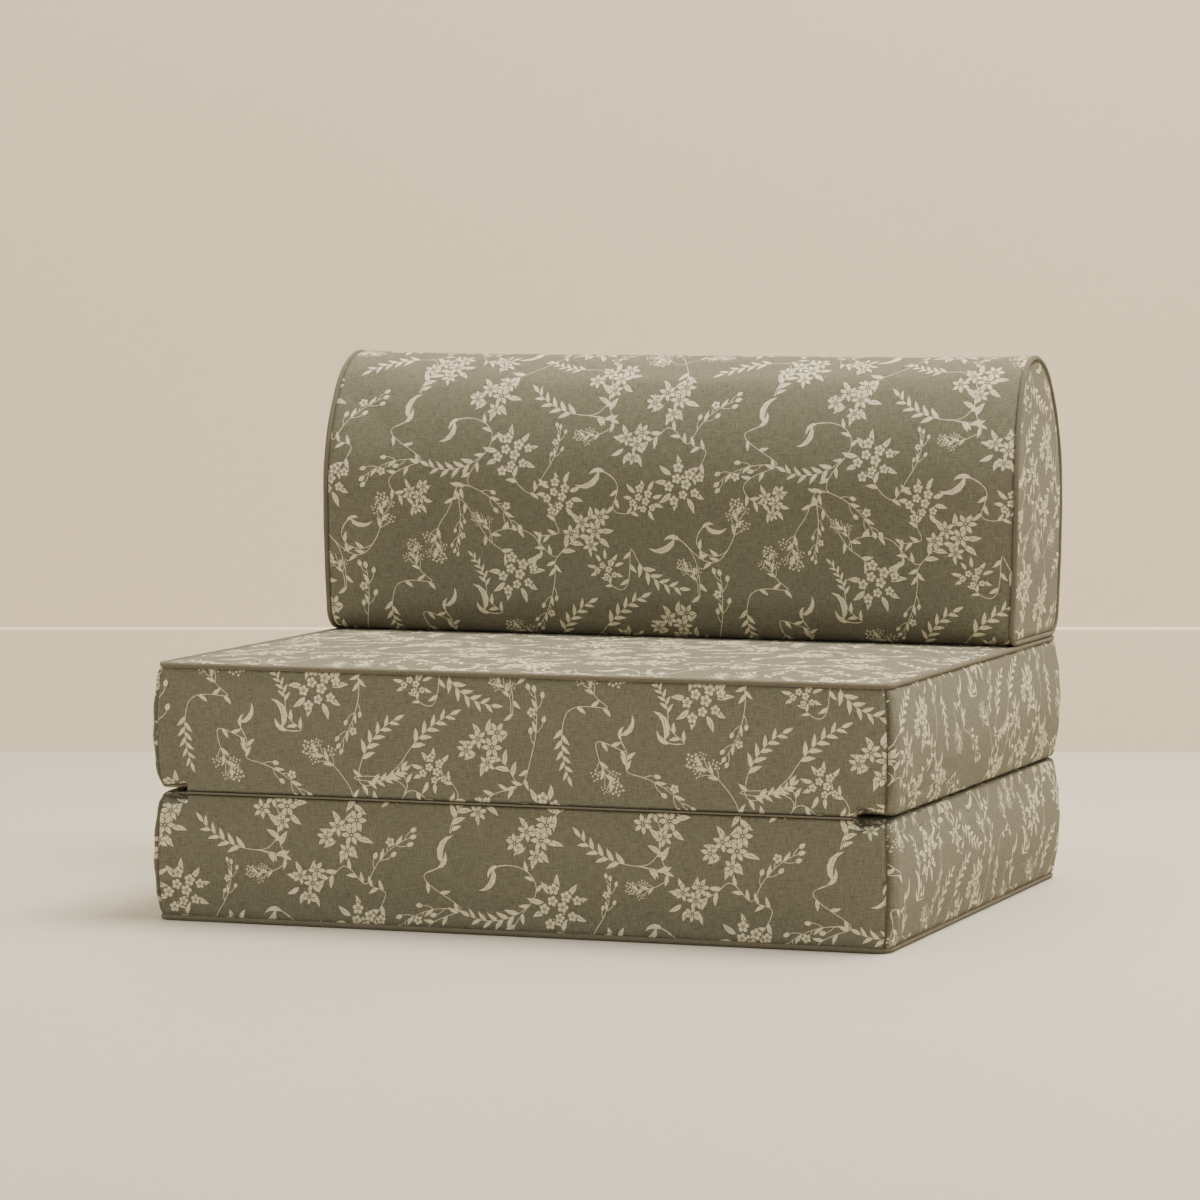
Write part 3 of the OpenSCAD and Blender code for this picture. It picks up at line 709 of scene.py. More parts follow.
@dataclass
class Casing:
    """A closed cover sewn from panels that meet along shared seams."""

    name: str
    panels: list[Panel]
    print_: "FloralPrint"
    materials: list[bpy.types.Material]

    def sew(self, name: str, step: float, finished: bool) -> tuple[bpy.types.Object, list]:
        """Cuts every panel and joins them at their seams.

        Args:
            name: The object's name.
            step: Spacing of the points inside the panels, in millimetres.
            finished: True for the outer cover, with its print, shading and materials.

        Returns:
            The object, and for each panel its cut and its vertices' numbers.
        """
        cuts = [panel.cut(step, self.print_ if finished and panel.cloth is Cloth.PRINTED
                          else None, finished) for panel in self.panels]
        places, offset, offsets = [], 0, []
        for cut in cuts:
            places.append(cut.panel.points(cut.flat))
            offsets.append(offset)
            offset += len(cut.flat)
        xyz = np.vstack(places) * MM
        border = np.nonzero(np.concatenate([cut.border for cut in cuts]))[0]
        same = self.weld(xyz, border)
        tris = same[np.vstack([cut.tris + o for cut, o in zip(cuts, offsets)])]
        used = np.unique(tris)
        renumber = np.full(len(xyz), -1)
        renumber[used] = np.arange(len(used))
        mesh = bpy.data.meshes.new(name)
        mesh.from_pydata(xyz[used].tolist(), [], renumber[tris].tolist())
        obj = link_object(name, mesh)
        if finished:
            self.finish(mesh, cuts)
        else:
            mesh.materials.append(self.materials[0])
        numbers = [renumber[same[np.arange(len(cut.flat)) + o]]
                   for cut, o in zip(cuts, offsets)]
        return obj, list(zip(cuts, numbers))

    @staticmethod
    def weld(xyz: np.ndarray, border: np.ndarray) -> np.ndarray:
        """Pairs up seam points that lie in the same place.

        Args:
            xyz: All points in metres.
            border: The numbers of the points on seams.

        Returns:
            For every point, the number of the point that stands for it.
        """
        tree = kdtree.KDTree(len(border))
        for i in border:
            tree.insert(xyz[i], int(i))
        tree.balance()
        same = np.arange(len(xyz))
        for i in border:
            same[i] = min(found[1] for found in tree.find_range(xyz[i], 6e-5))
        return same[same]

    def finish(self, mesh: bpy.types.Mesh, cuts: list[CutPanel]) -> None:
        """Gives a sewn mesh its smooth shading, weave direction, materials and a seam value that
        the cloth uses for painted shade along the seams.
        """
        normals, uvs, kinds, seams = [], [], [], []
        for cut in cuts:
            direction = cut.panel.normals(cut.flat)
            normals.append(direction[cut.tris].reshape(-1, 3))
            # The seam value is 1 on each seam and fades within a few millimetres; the cloth turns
            # it into painted shade along the seams.
            seams.append(bell(cut.panel.inset(cut.flat), 2.4)[cut.tris].ravel())
            spread = cut.flat * MM + np.array(cut.panel.shift) * 0.0017
            uvs.append(spread[cut.tris].reshape(-1, 2))
            plain = cut.panel.cloth is Cloth.PLAIN
            kinds.append(np.where(cut.ink, 1, 2 if plain else 0))
        mesh.polygons.foreach_set("material_index", np.concatenate(kinds).astype(np.int32))
        layer = mesh.uv_layers.new(name="weave")
        layer.data.foreach_set("uv", np.vstack(uvs).astype(np.float32).ravel())
        # Stored for the cloth material, which darkens the cloth here by up to half as painted
        # shade in the seam ditches.
        line = mesh.attributes.new("seam", "FLOAT", "CORNER")
        line.data.foreach_set("value", np.concatenate(seams).astype(np.float32))
        mesh.polygons.foreach_set("use_smooth", np.ones(len(mesh.polygons), bool))
        for material in self.materials:
            mesh.materials.append(material)
        mesh.normals_split_custom_set(np.vstack(normals).tolist())
        mesh.update()

    def simulate(self, pressure: float = 4.0, frames: int = 20) -> None:
        """Blows the sewn cover up with a cloth simulation and keeps each panel's swelling."""
        obj, rows = self.sew(self.name + "_soft", 16.0, False)
        rest = np.array([v.co for v in obj.data.vertices])
        pins = obj.vertex_groups.new(name="seams")
        held = sorted({int(n) for cut, numbers in rows for n in numbers[cut.border] if n >= 0})
        pins.add(held, 1.0, "REPLACE")
        cloth = obj.modifiers.new("Fill", "CLOTH")
        s = cloth.settings
        s.quality, s.mass = 5, 0.3
        s.tension_stiffness, s.compression_stiffness, s.shear_stiffness = 15, 15, 5
        s.bending_stiffness = 0.5
        s.use_pressure, s.uniform_pressure_force = True, pressure
        s.effector_weights.gravity = 0.0
        s.vertex_group_mass = "seams"
        cloth.collision_settings.use_collision = False
        cloth.point_cache.frame_start, cloth.point_cache.frame_end = 1, frames
        for number in range(1, frames + 1):
            bpy.context.scene.frame_set(number)
        graph = bpy.context.evaluated_depsgraph_get()
        blown = obj.evaluated_get(graph).to_mesh()
        moved = np.array([v.co for v in blown.vertices]) - rest
        for cut, numbers in rows:
            panel = cut.panel
            size = np.ceil((panel.rim.max(0) - panel.rim.min(0)) / panel.coarse).astype(int) + 1
            table = np.zeros(size)
            out = (moved[numbers] * panel.normals(cut.flat)).sum(1) / MM
            cell = (cut.flat - panel.low) / panel.coarse
            near = np.round(cell).astype(int)
            on = (np.abs(cell - near).max(1) < 0.01) & ~cut.border
            table[near[on, 0], near[on, 1]] = out[on]
            panel.swell = table
        data = obj.data
        bpy.data.objects.remove(obj)
        bpy.data.meshes.remove(data)
        bpy.context.scene.frame_set(1)


@dataclass
class ZipPlace:
    """Where a zip lies on a rear face."""

    height: float
    half_length: float = 351.0
    slot: float = 9.0
    depth: float = 2.9

    def groove(self, x: np.ndarray, z: np.ndarray) -> np.ndarray:
        """Gives how deep the slot is at points of the rear face."""
        across = 1.0 - ease(np.abs(z - self.height), self.slot / 2 - 0.3, self.slot / 2 + 1.7)
        within = 1.0 - ease(np.abs(x), self.half_length, self.half_length + 2.5)
        return self.depth * across * within

    def calm(self, x: np.ndarray, z: np.ndarray) -> np.ndarray:
        """Gives 0 beside the zip, where the cloth lies flat, and 1 far from it."""
        within = 1.0 - ease(np.abs(x), self.half_length + 4, self.half_length + 40)
        flat = 1.0 - ease(np.abs(z - self.height), 7.0, 40.0)
        return 1.0 - within * flat

    def lips(self) -> np.ndarray:
        """Gives the points that the slot's edges need, as x and z."""
        half = self.slot / 2
        z = self.height + np.array([-half - 3.5, -half - 1.8, -half - 0.8, -half + 0.3,
                                    half - 0.3, half + 0.8, half + 1.8, half + 3.5])
        x = np.linspace(-self.half_length, self.half_length, 90)
        ends = self.half_length + np.array([1.2, 2.6, 5.0])
        x = np.concatenate([-ends[::-1], x, ends])
        return np.stack(np.meshgrid(x, z), -1).reshape(-1, 2)


@dataclass
class SeatBlock:
    """One of the two foam blocks of the seat, in a boxed cover with one piped edge.

    Attributes:
        name: The block's name, which starts its pieces' names.
        base: Height of its underside.
        piped_top: True if the piping runs round its top, and False for its underside.
        shifts: Where the print starts on the top, the underside and the four bands.
        width: Its size from side to side.
        depth: Its size from front to rear.
        thick: Its height.
        corner: Rounding of its upright corners.
        piped_edge: Rounding of the piped edge.
        plain_edge: Rounding of the edge that meets the other block.
        zip_height: Height of the zip above the underside.
        cord: Height of the lower piping's middle.
        seam_end: Where the front seam starts to open, measured from the block's sides.
    """

    name: str
    base: float
    piped_top: bool
    shifts: list[tuple[float, float]]
    width: float = 800.0
    depth: float = 670.0
    thick: float = 135.0
    corner: float = 16.0
    piped_edge: float = 12.0
    plain_edge: float = 3.5
    zip_height: float = 67.5
    cord: float = 3.1
    seam_end: tuple[float, float] = (-37.0, -30.0)

    @property
    def body(self) -> str:
        """Gives the name of the body that the block's pieces ride on."""
        return f"{self.name}_section"

    @property
    def top(self) -> float:
        """Gives the height of the block's upper face."""
        return self.base + self.thick

    @property
    def edges(self) -> tuple[float, float]:
        """Gives the rounding of the lower and the upper edge."""
        pair = (self.plain_edge, self.piped_edge)
        return pair if self.piped_top else pair[::-1]

    @property
    def gap(self) -> float:
        """Gives the height of the edge that meets the other block."""
        return self.base if self.piped_top else self.top

    @property
    def zip(self) -> ZipPlace:
        """Gives the place of the block's zip."""
        return ZipPlace(self.base + self.zip_height)

    def reach(self, side: Side) -> tuple[float, float, float]:
        """Gives a side's straight half length, the same with its corners, and its distance."""
        half = (self.width, self.depth)[side.value % 2] / 2
        far = (self.depth, self.width)[side.value % 2] / 2
        straight = half - self.corner
        return straight, straight + self.corner * TAU / 8, far

    def stations(self, side: Side) -> np.ndarray:
        """Gives the places along a side that its seams' points share."""
        straight, end, _ = self.reach(side)
        bend = straight + spaced(end - straight, 2.6)
        return np.concatenate([-bend[:0:-1], -straight + spaced(2 * straight, 8.0), bend[1:]])

    def levels(self) -> np.ndarray:
        """Gives the heights that the upright seams' points share."""
        low, high = (seam_inset(edge) for edge in self.edges)
        return self.base + low + spaced(self.thick - low - high, 8.0)

    def rim_point(self, side: Side, along: np.ndarray) -> tuple[np.ndarray, np.ndarray]:
        """Finds places on the block's outline, seen from above.

        Args:
            side: The side that they are measured on.
            along: Distances from the side's middle.

        Returns:
            The points and their outward directions.
        """
        straight, _, far = self.reach(side)
        turn = np.clip((np.abs(along) - straight) / self.corner, 0, TAU / 8) * np.sign(along)
        across = np.clip(along, -straight, straight) + self.corner * np.sin(turn)
        out = -(far - self.corner) - self.corner * np.cos(turn)
        c, s = math.cos(side.value * TAU / 4), math.sin(side.value * TAU / 4)
        spin = np.array([[c, s], [-s, c]])
        return (np.stack([across, out], 1) @ spin,
                np.stack([np.sin(turn), -np.cos(turn)], 1) @ spin)

    def pull(self, xyz: np.ndarray) -> np.ndarray:
        """Draws the sewn length of the front seam together and tucks in its open ends."""
        x, y, z = xyz.T
        away = 1.0 if self.piped_top else -1.0
        rise = z - self.gap
        side = np.abs(x) - self.width / 2
        unsewn = ease(side, *self.seam_end)
        near = bell(np.hypot(rise, y + self.depth / 2), 8.0) * (1.0 - unsewn)
        open_end = unsewn * (1.0 - 0.55 * ease(side, -26, 0))
        tuck = open_end * bell(y + self.depth / 2, 20.0) * bell(rise, 10.0)
        ripple = 0.5 * np.sin(x / 23.0 + 3.0 * self.piped_top) + 0.3 * np.sin(x / 9.7)
        moved = xyz.copy()
        moved[:, 0] -= np.sign(x) * 2.5 * tuck
        moved[:, 1] += 8.5 * tuck - near * (2.2 + 0.3 * ripple)
        moved[:, 2] += away * (6.2 * tuck - near * (0.5 + 0.2 * ripple))
        return moved

    def bulge(self, side: Side, normal: np.ndarray, point: np.ndarray,
              z: np.ndarray) -> np.ndarray:
        """Gives how far the sides belly out between the block's two faces."""
        low, high = self.levels()[[0, -1]]
        t = np.clip((z - low) / (high - low), 0, 1)
        height = (2.0 + 6.5 * np.abs(normal[:, 0])) * np.sin(math.pi * t) ** 0.75
        if side is Side.REAR:
            height = height * self.rear_calm(point[:, 0], z)
        return height

    def rear_calm(self, x: np.ndarray, z: np.ndarray) -> np.ndarray:
        """Gives 0 where the rear must lie flat for the zip, the strip and the label."""
        calm = self.zip.calm(x, z)
        if self.piped_top:
            strip = (1.0 - ease(np.abs(x), 358, 385)) * ease(z, self.top - 46, self.top - 26)
            return calm * (1.0 - strip)
        return calm * (1.0 - bell(np.hypot((x + 293) / 34, (z - 27) / 28), 1.0))

    def crease(self, side: Side, along: np.ndarray, z: np.ndarray) -> np.ndarray:
        """Gives the depth of the soft folds that run back from the ends of the front seam."""
        if side in (Side.FRONT, Side.REAR):
            return np.zeros(len(z))
        front = self.reach(side)[1] + (along if side is Side.RIGHT else -along)
        height = np.abs(z - self.gap)
        wander = 15.0 + 3.0 * np.sin(front / 47.0) + 0.02 * front
        fold = 2.2 * bell(height - wander, 3.6) * ease(front, 8, 40) * (1 - ease(front, 90, 430))
        second = 1.2 * bell(height - wander - 17, 5.0) * ease(front, 60, 120)
        return fold + second * (1 - ease(front, 150, 330))

    def band(self, side: Side, shift: tuple[float, float], crown: float) -> Panel:
        """Makes the band along one side.

        Args:
            side: The side that it covers.
            shift: Where its print starts.
            crown: The most that the filling swells it.

        Returns:
            The band's panel.
        """
        along, levels = self.stations(side), self.levels()
        low, high = self.edges

        def place(flat: np.ndarray, lift: np.ndarray) -> np.ndarray:
            """Gives the places of the band's points."""
            a, z = flat.T
            point, normal = self.rim_point(side, a)
            inner = ease(z - self.base, 3.5, 10) * ease(self.top - z, 3.5, 10)
            out = lift + self.bulge(side, normal, point, z) - self.crease(side, a, z)
            seam = along[-1] - np.abs(a)
            pucker = 0.55 * bell(seam - 6.0, 5.0) * np.sin(z / 5.3 + side.value)
            out = out + inner * (1.1 * bell(seam - 3.6, 1.7) - 2.0 * bell(seam, 2.0) + pucker)
            out = out - edge_drop(z - self.base, low) - edge_drop(self.top - z, high)
            if side is Side.REAR:
                out = out - self.zip.groove(point[:, 0], z)
            return self.pull(np.column_stack([point + normal * out[:, None], z]))

        panel = Panel(rectangle(along, levels), partial(rectangle_inset, along, levels), place,
                      Cloth.PRINTED, shift, crown)
        if side is Side.REAR:
            panel.extra = self.zip.lips()
            panel.calm = lambda flat: self.rear_calm(-flat[:, 0], flat[:, 1])
        return panel

    def face(self, upper: bool, shift: tuple[float, float], crown: float,
             cloth: Cloth) -> Panel:
        """Makes the block's top or underside.

        Args:
            upper: True for the top.
            shift: Where its print starts.
            crown: The most that the filling swells it.
            cloth: The cloth that it is cut from.

        Returns:
            The face's panel.
        """
        edge = self.edges[1 if upper else 0]
        seam, sign = seam_inset(edge), 1.0 if upper else -1.0
        height = self.top if upper else self.base
        rim = []
        for side in Side:
            point, normal = self.rim_point(side, self.stations(side)[:-1])
            rim.append(point - normal * seam)
        rim = np.vstack(rim) * [1.0, sign]
        half = np.array([self.width, self.depth]) / 2 - self.corner

        def depth_in(flat: np.ndarray) -> np.ndarray:
            """Gives the distance in from the block's outline."""
            past = np.abs(flat) - half
            outside = np.linalg.norm(np.maximum(past, 0), axis=1)
            return self.corner - outside - np.minimum(past.max(1), 0)

        def place(flat: np.ndarray, lift: np.ndarray) -> np.ndarray:
            """Gives the places of the face's points."""
            drop = edge_drop(depth_in(flat), edge)
            z = height + sign * (lift - drop)
            return self.pull(np.column_stack([flat[:, 0], sign * flat[:, 1], z]))

        rim = rim if upper else rim[::-1]
        panel = Panel(rim, lambda flat: depth_in(flat) - seam, place, cloth, shift, crown)
        if upper and self.piped_top:
            panel.calm = lambda flat: 1.0 - ease(flat[:, 1], 70, 140)
        return panel

    def casing(self, floral: "FloralPrint", materials: list[bpy.types.Material]) -> Casing:
        """Makes the block's whole cover, ready to sew."""
        top, base, *bands = self.shifts
        crowns = {Side.FRONT: 1.6, Side.RIGHT: 2.4, Side.REAR: 1.0, Side.LEFT: 2.4}
        panels = [self.face(True, top, 4.5 if self.piped_top else 0.4, Cloth.PRINTED),
                  self.face(False, base, *((0.4, Cloth.PRINTED) if self.piped_top
                                           else (0.02, Cloth.PLAIN)))]
        panels += [self.band(side, shift, crowns[side]) for side, shift in zip(Side, bands)]
        return Casing(f"{self.name}_cover", panels, floral, materials)

    def piping_path(self) -> tuple[np.ndarray, np.ndarray]:
        """Gives the piping's middle line and its outward directions."""
        points, outs = [], []
        z = self.top - 2.5 if self.piped_top else self.cord
        for side in Side:
            point, normal = self.rim_point(side, self.stations(side)[:-1])
            points.append(np.column_stack([point - 1.7 * normal, np.full(len(point), z)]))
            outs.append(np.column_stack([normal, np.zeros(len(point))]))
        return np.vstack(points), np.vstack(outs)

    def replaced(self) -> list[str]:
        """Gives the CAD panels that the cover stands for."""
        ends = ("top_panel", "base_panel", "front_band", "rear_band", "left_band", "right_band")
        return [f"{self.name}_{end}" for end in ends]


@dataclass
class Bolster:
    """The arched backrest: a long wrap panel between two D-shaped ends with piped edges."""

    shifts: list[tuple[float, float]]
    half: float = 400.0
    front: float = 140.0
    rear: float = 335.0
    base: float = 272.6
    top: float = 586.6
    arch: float = 152.0
    crown: float = 75.0
    foot: float = 22.0
    edge: float = 12.0
    zip_height: float = 318.6
    cord: float = 3.1
    body: str = "backrest"

    def __post_init__(self) -> None:
        """Works out the outline's stations, points and outward directions."""
        half = (self.rear - self.front) / 2
        mid = (self.rear + self.front) / 2
        spring, rise = self.top - self.arch, self.arch - self.crown
        shoulder = ((half**2 + self.arch**2 - 2 * self.arch * self.crown)
                    / (2 * (half - self.crown)))
        lean = math.atan2(rise, shoulder - half)
        quarter = TAU / 4
        arcs = [((mid + half - self.foot, self.base + self.foot), self.foot, -quarter, 0.0),
                ((mid + half - shoulder, spring), shoulder, 0.0, lean),
                ((mid, spring + rise), self.crown, lean, TAU / 2 - lean),
                ((mid - half + shoulder, spring), shoulder, TAU / 2 - lean, TAU / 2),
                ((mid - half + self.foot, self.base + self.foot), self.foot, TAU / 2,
                 TAU * 0.75)]
        points, normals = [], []
        for centre, radius, start, end in arcs:
            turn = start + spaced(end - start, 8.0 / radius if radius > 60 else 0.2)
            normal = np.stack([np.cos(turn), np.sin(turn)], 1)
            first = np.array(centre) + radius * normal
            if points:
                gap = first[0] - points[-1][-1]
                length = np.linalg.norm(gap)
                if length > 1.0:
                    t = spaced(length, 8.0)[1:-1, None] / length
                    points.append(points[-1][-1] + t * gap)
                    normals.append(np.repeat(normal[:1], len(t), 0))
                else:
                    first, normal = first[1:], normal[1:]
            points.append(first)
            normals.append(normal)
        self.wrap, self.wrap_out = np.vstack(points)[::-1], np.vstack(normals)[::-1]
        width = self.rear - self.front - 2 * self.foot
        t = spaced(width, 8.0)[1:-1, None] / width
        self.under = self.wrap[-1] + t * (self.wrap[0] - self.wrap[-1])
        self.loop = np.vstack([self.wrap, self.under])
        down = np.tile([0.0, -1.0], (len(self.under), 1))
        self.loop_out = np.vstack([self.wrap_out, down])
        steps = np.linalg.norm(np.diff(self.wrap, axis=0), axis=1)
        self.length = np.concatenate([[0], np.cumsum(steps)])

    @property
    def zip(self) -> ZipPlace:
        """Gives the place of the backrest's zip."""
        return ZipPlace(self.zip_height)

    def section(self, along: np.ndarray) -> tuple[np.ndarray, np.ndarray]:
        """Gives outline points and outward directions at distances along the wrap."""
        point = np.stack([np.interp(along, self.length, self.wrap[:, k]) for k in (0, 1)], 1)
        out = np.stack([np.interp(along, self.length, self.wrap_out[:, k]) for k in (0, 1)], 1)
        return point, unit_rows(out)

    def calm(self, x: np.ndarray, point: np.ndarray) -> np.ndarray:
        """Gives 0 where the rear must lie flat for the zip and the hinge strip."""
        rear = ease(point[:, 0], 318, 330)
        strip = (1.0 - ease(np.abs(x), 358, 385)) * (1.0 - ease(point[:, 1], 300, 322))
        return 1.0 - rear * (1.0 - self.zip.calm(x, point[:, 1]) * (1.0 - strip))

    def bow(self, xyz: np.ndarray) -> np.ndarray:
        """Swells both ends outwards between the base and the crown."""
        t = np.clip((xyz[:, 2] - self.base) / (self.top - self.base), 0, 1)
        moved = xyz.copy()
        moved[:, 0] += np.sign(xyz[:, 0]) * 5.5 * np.sin(math.pi * t) ** 0.8 * ease(
            np.abs(xyz[:, 0]), 330, 395)
        return moved

    def tube(self, x: np.ndarray) -> Panel:
        """Makes the wrap panel, from the front of the base over the top to the rear.

        Args:
            x: The places across the backrest that its long seams share.

        Returns:
            The wrap panel.
        """

        def place(flat: np.ndarray, lift: np.ndarray) -> np.ndarray:
            """Gives the places of the wrap's points."""
            point, out = self.section(flat[:, 1])
            far = lift - edge_drop(self.half - np.abs(flat[:, 0]), self.edge)
            rear = ease(out[:, 0], 0.9, 0.99)
            far = far - rear * self.zip.groove(flat[:, 0], point[:, 1])
            place = point + out * far[:, None]
            return self.bow(np.column_stack([flat[:, 0], place]))

        panel = Panel(rectangle(x, self.length), partial(rectangle_inset, x, self.length), place,
                      Cloth.PRINTED, self.shifts[0], 3.0)
        panel.calm = lambda flat: self.calm(flat[:, 0], self.section(flat[:, 1])[0])
        lips = self.zip.lips()
        rear = np.nonzero(self.wrap_out[:, 0] > 0.999)[0]
        order = rear[np.argsort(self.wrap[rear, 1])]
        lips[:, 1] = np.interp(lips[:, 1], self.wrap[order, 1], self.length[order])
        panel.extra = lips
        return panel

    def underside(self, x: np.ndarray) -> Panel:
        """Makes the plain panel under the backrest."""
        y = -np.concatenate([self.wrap[-1:], self.under, self.wrap[:1]])[:, 0]

        def place(flat: np.ndarray, lift: np.ndarray) -> np.ndarray:
            """Gives the places of the panel's points."""
            drop = edge_drop(self.half - np.abs(flat[:, 0]), self.edge)
            return np.column_stack([flat[:, 0], -flat[:, 1], self.base + drop - lift])

        return Panel(rectangle(x, y), partial(rectangle_inset, x, y), place, Cloth.PLAIN,
                     (0.0, 0.0), 0.2)

    def end(self, sign: float, shift: tuple[float, float]) -> Panel:
        """Makes one D-shaped end panel.

        Args:
            sign: 1 for the right end and -1 for the left.
            shift: Where its print starts.

        Returns:
            The end panel.
        """
        seam, loop, outs = seam_inset(self.edge), self.loop, self.loop_out
        turned = np.array([sign, 1.0])
        rim = ((loop - outs * seam) * turned)[:: -int(sign)]

        def depth_in(flat: np.ndarray) -> np.ndarray:
            """Gives the distance in from the backrest's outline."""
            found = [((loop[None] - part[:, None]) * outs[None]).sum(2).min(1)
                     for part in np.array_split(flat * turned, max(1, len(flat) // 4000))]
            return np.concatenate(found)

        def place(flat: np.ndarray, lift: np.ndarray) -> np.ndarray:
            """Gives the places of the end's points."""
            x = sign * (self.half - edge_drop(depth_in(flat), self.edge) + lift)
            return self.bow(np.column_stack([x, flat * turned]))

        return Panel(rim, lambda flat: depth_in(flat) - seam, place, Cloth.PRINTED, shift, 8.0)

    def casing(self, floral: "FloralPrint", materials: list[bpy.types.Material]) -> Casing:
        """Makes the backrest's whole cover, ready to sew."""
        seam = seam_inset(self.edge)
        x = -self.half + seam + spaced(2 * (self.half - seam), 8.0)
        panels = [self.tube(x), self.underside(x), self.end(1.0, self.shifts[1]),
                  self.end(-1.0, self.shifts[2])]
        return Casing("back_cover", panels, floral, materials)

    def piping_path(self, sign: float) -> tuple[np.ndarray, np.ndarray]:
        """Gives the middle line and outward directions of one end's piping."""
        line = self.loop - 2.5 * self.loop_out
        return (np.column_stack([np.full(len(line), sign * (self.half - 1.8)), line]),
                np.column_stack([np.zeros(len(line)), self.loop_out]))


def tube_faces(long: Sequence[float], around: Sequence[float],
               closed: bool) -> tuple[list[tuple[int, ...]], np.ndarray]:
    """Gives the faces of a swept tube whose points run ring by ring.

    Args:
        long: Distance along the tube at each ring, and at its end if it is closed.
        around: Distance round the tube at each point of a ring, and at its end.
        closed: True if the last ring joins the first.

    Returns:
        The faces, and the two distances at each face corner.
    """
    rings, sides = len(long) - 1, len(around) - 1
    total = rings if closed else rings + 1
    faces, spots = [], []
    for i in range(rings):
        for j in range(sides):
            k, m = (i + 1) % total, (j + 1) % sides
            faces.append((i * sides + j, i * sides + m, k * sides + m, k * sides + j))
            (a, b), (c, d) = long[i:i + 2], around[j:j + 2]
            spots += [(a, c), (a, d), (b, d), (b, c)]
    return faces, np.array(spots)


@dataclass(frozen=True)
class CordPiping:
    """Piping: a cord covered with bias-cut cloth, sewn along a closed path."""

    name: str
    radius: float = 2.9
    sides: int = 12

    def build(self, path: np.ndarray, out: np.ndarray, material: bpy.types.Material,
              shape: Callable[[np.ndarray], np.ndarray] | None = None) -> bpy.types.Object:
        """Sweeps the piping along its path.

        Args:
            path: The points of the closed middle line, in millimetres.
            out: The outward direction at each of them.
            material: The piping's cloth.
            shape: Moves finished points with the cover beside them, or None.

        Returns:
            The piping.
        """
        along = unit_rows(np.roll(path, -1, 0) - np.roll(path, 1, 0))
        out = unit_rows(out - (out * along).sum(1)[:, None] * along)
        other = np.cross(along, out)
        length = np.concatenate([[0], np.cumsum(np.linalg.norm(
            np.roll(path, -1, 0) - path, axis=1))])
        turn = np.arange(self.sides) * TAU / self.sides
        wave = 1.0 + 0.035 * np.sin(length[:-1] / 9.0) + 0.02 * np.sin(length[:-1] / 3.7)
        ring = (np.cos(turn)[None, :, None] * out[:, None]
                + np.sin(turn)[None, :, None] * other[:, None])
        verts = (path[:, None] + self.radius * wave[:, None, None] * ring).reshape(-1, 3)
        if shape is not None:
            verts = shape(verts)
        around = np.append(turn, TAU) * self.radius
        faces, spots = tube_faces(length, around, True)
        slanted = spots @ np.array([[1.0, 1.0], [1.0, -1.0]])
        return mesh_object(self.name, verts, faces, [material], slanted * 0.0007)


def mesh_object(name: str, verts: np.ndarray, faces: Sequence[Sequence[int]],
                materials: list[bpy.types.Material],
                uvs: np.ndarray | None = None) -> bpy.types.Object:
    """Makes a smooth mesh object and turns its faces outwards.

    Args:
        name: The object's name.
        verts: Its points, in millimetres.
        faces: Its faces as rows of point numbers.
        materials: Its materials.
        uvs: One weave coordinate for each face corner, or None.

    Returns:
        The object, linked to the scene.
    """
    mesh = bpy.data.meshes.new(name)
    mesh.from_pydata((np.asarray(verts) * MM).tolist(), [], [list(f) for f in faces])
    if uvs is not None:
        mesh.uv_layers.new(name="weave").data.foreach_set(
            "uv", np.asarray(uvs, np.float32).ravel())
    work = bmesh.new()
    work.from_mesh(mesh)
    bmesh.ops.recalc_face_normals(work, faces=work.faces)
    work.to_mesh(mesh)
    work.free()
    mesh.polygons.foreach_set("use_smooth", np.ones(len(mesh.polygons), bool))
    for material in materials:
        mesh.materials.append(material)
    return link_object(name, mesh)


@dataclass(frozen=True)
class HingeStrip:
    """A folded cloth strip that joins two sections along a hinge line.

    Attributes:
        name: The strip's name.
        half_length: Half its length across the seat.
        section: Its middle line from one sewn edge to the other, as y and z.
        thick: Its thickness.
        waver: How unevenly its fold lies.
    """

    name: str
    half_length: float
    section: tuple[tuple[float, float], ...]
    thick: float = 0.5
    waver: float = 0.12

    def build(self, material: bpy.types.Material) -> bpy.types.Object:
        """Makes the strip as a thin closed ribbon."""
        line = np.array(self.section)
        along = np.gradient(line, axis=0)
        side = unit_rows(np.stack([-along[:, 1], along[:, 0]], 1))
        outer, inner = line + side * self.thick / 2, line - side * self.thick / 2
        loop = np.vstack([outer, inner[::-1]])
        count = len(loop)
        x = -self.half_length + spaced(2 * self.half_length, 6.0)
        ripple = self.waver * (np.sin(x / 17.0) + 0.6 * np.sin(x / 6.3 + 1.0))
        verts = np.zeros((len(x), count, 3))
        verts[:, :, 0] = x[:, None]
        verts[:, :, 1:] = loop[None]
        verts[:, :, 1] += ripple[:, None] * 0.5
        gaps = np.linalg.norm(np.roll(loop, -1, 0) - loop, axis=1)
        faces, uvs = tube_faces(x, np.concatenate([[0], np.cumsum(gaps)]), False)
        for first in (0, (len(x) - 1) * count):
            faces += [(first + j, first + j + 1, first + count - 2 - j, first + count - 1 - j)
                      for j in range(count // 2 - 1)]
        uvs = np.vstack([uvs, np.zeros((4 * len(faces) - len(uvs), 2))])
        return mesh_object(self.name, verts.reshape(-1, 3), faces, [material], uvs * MM)


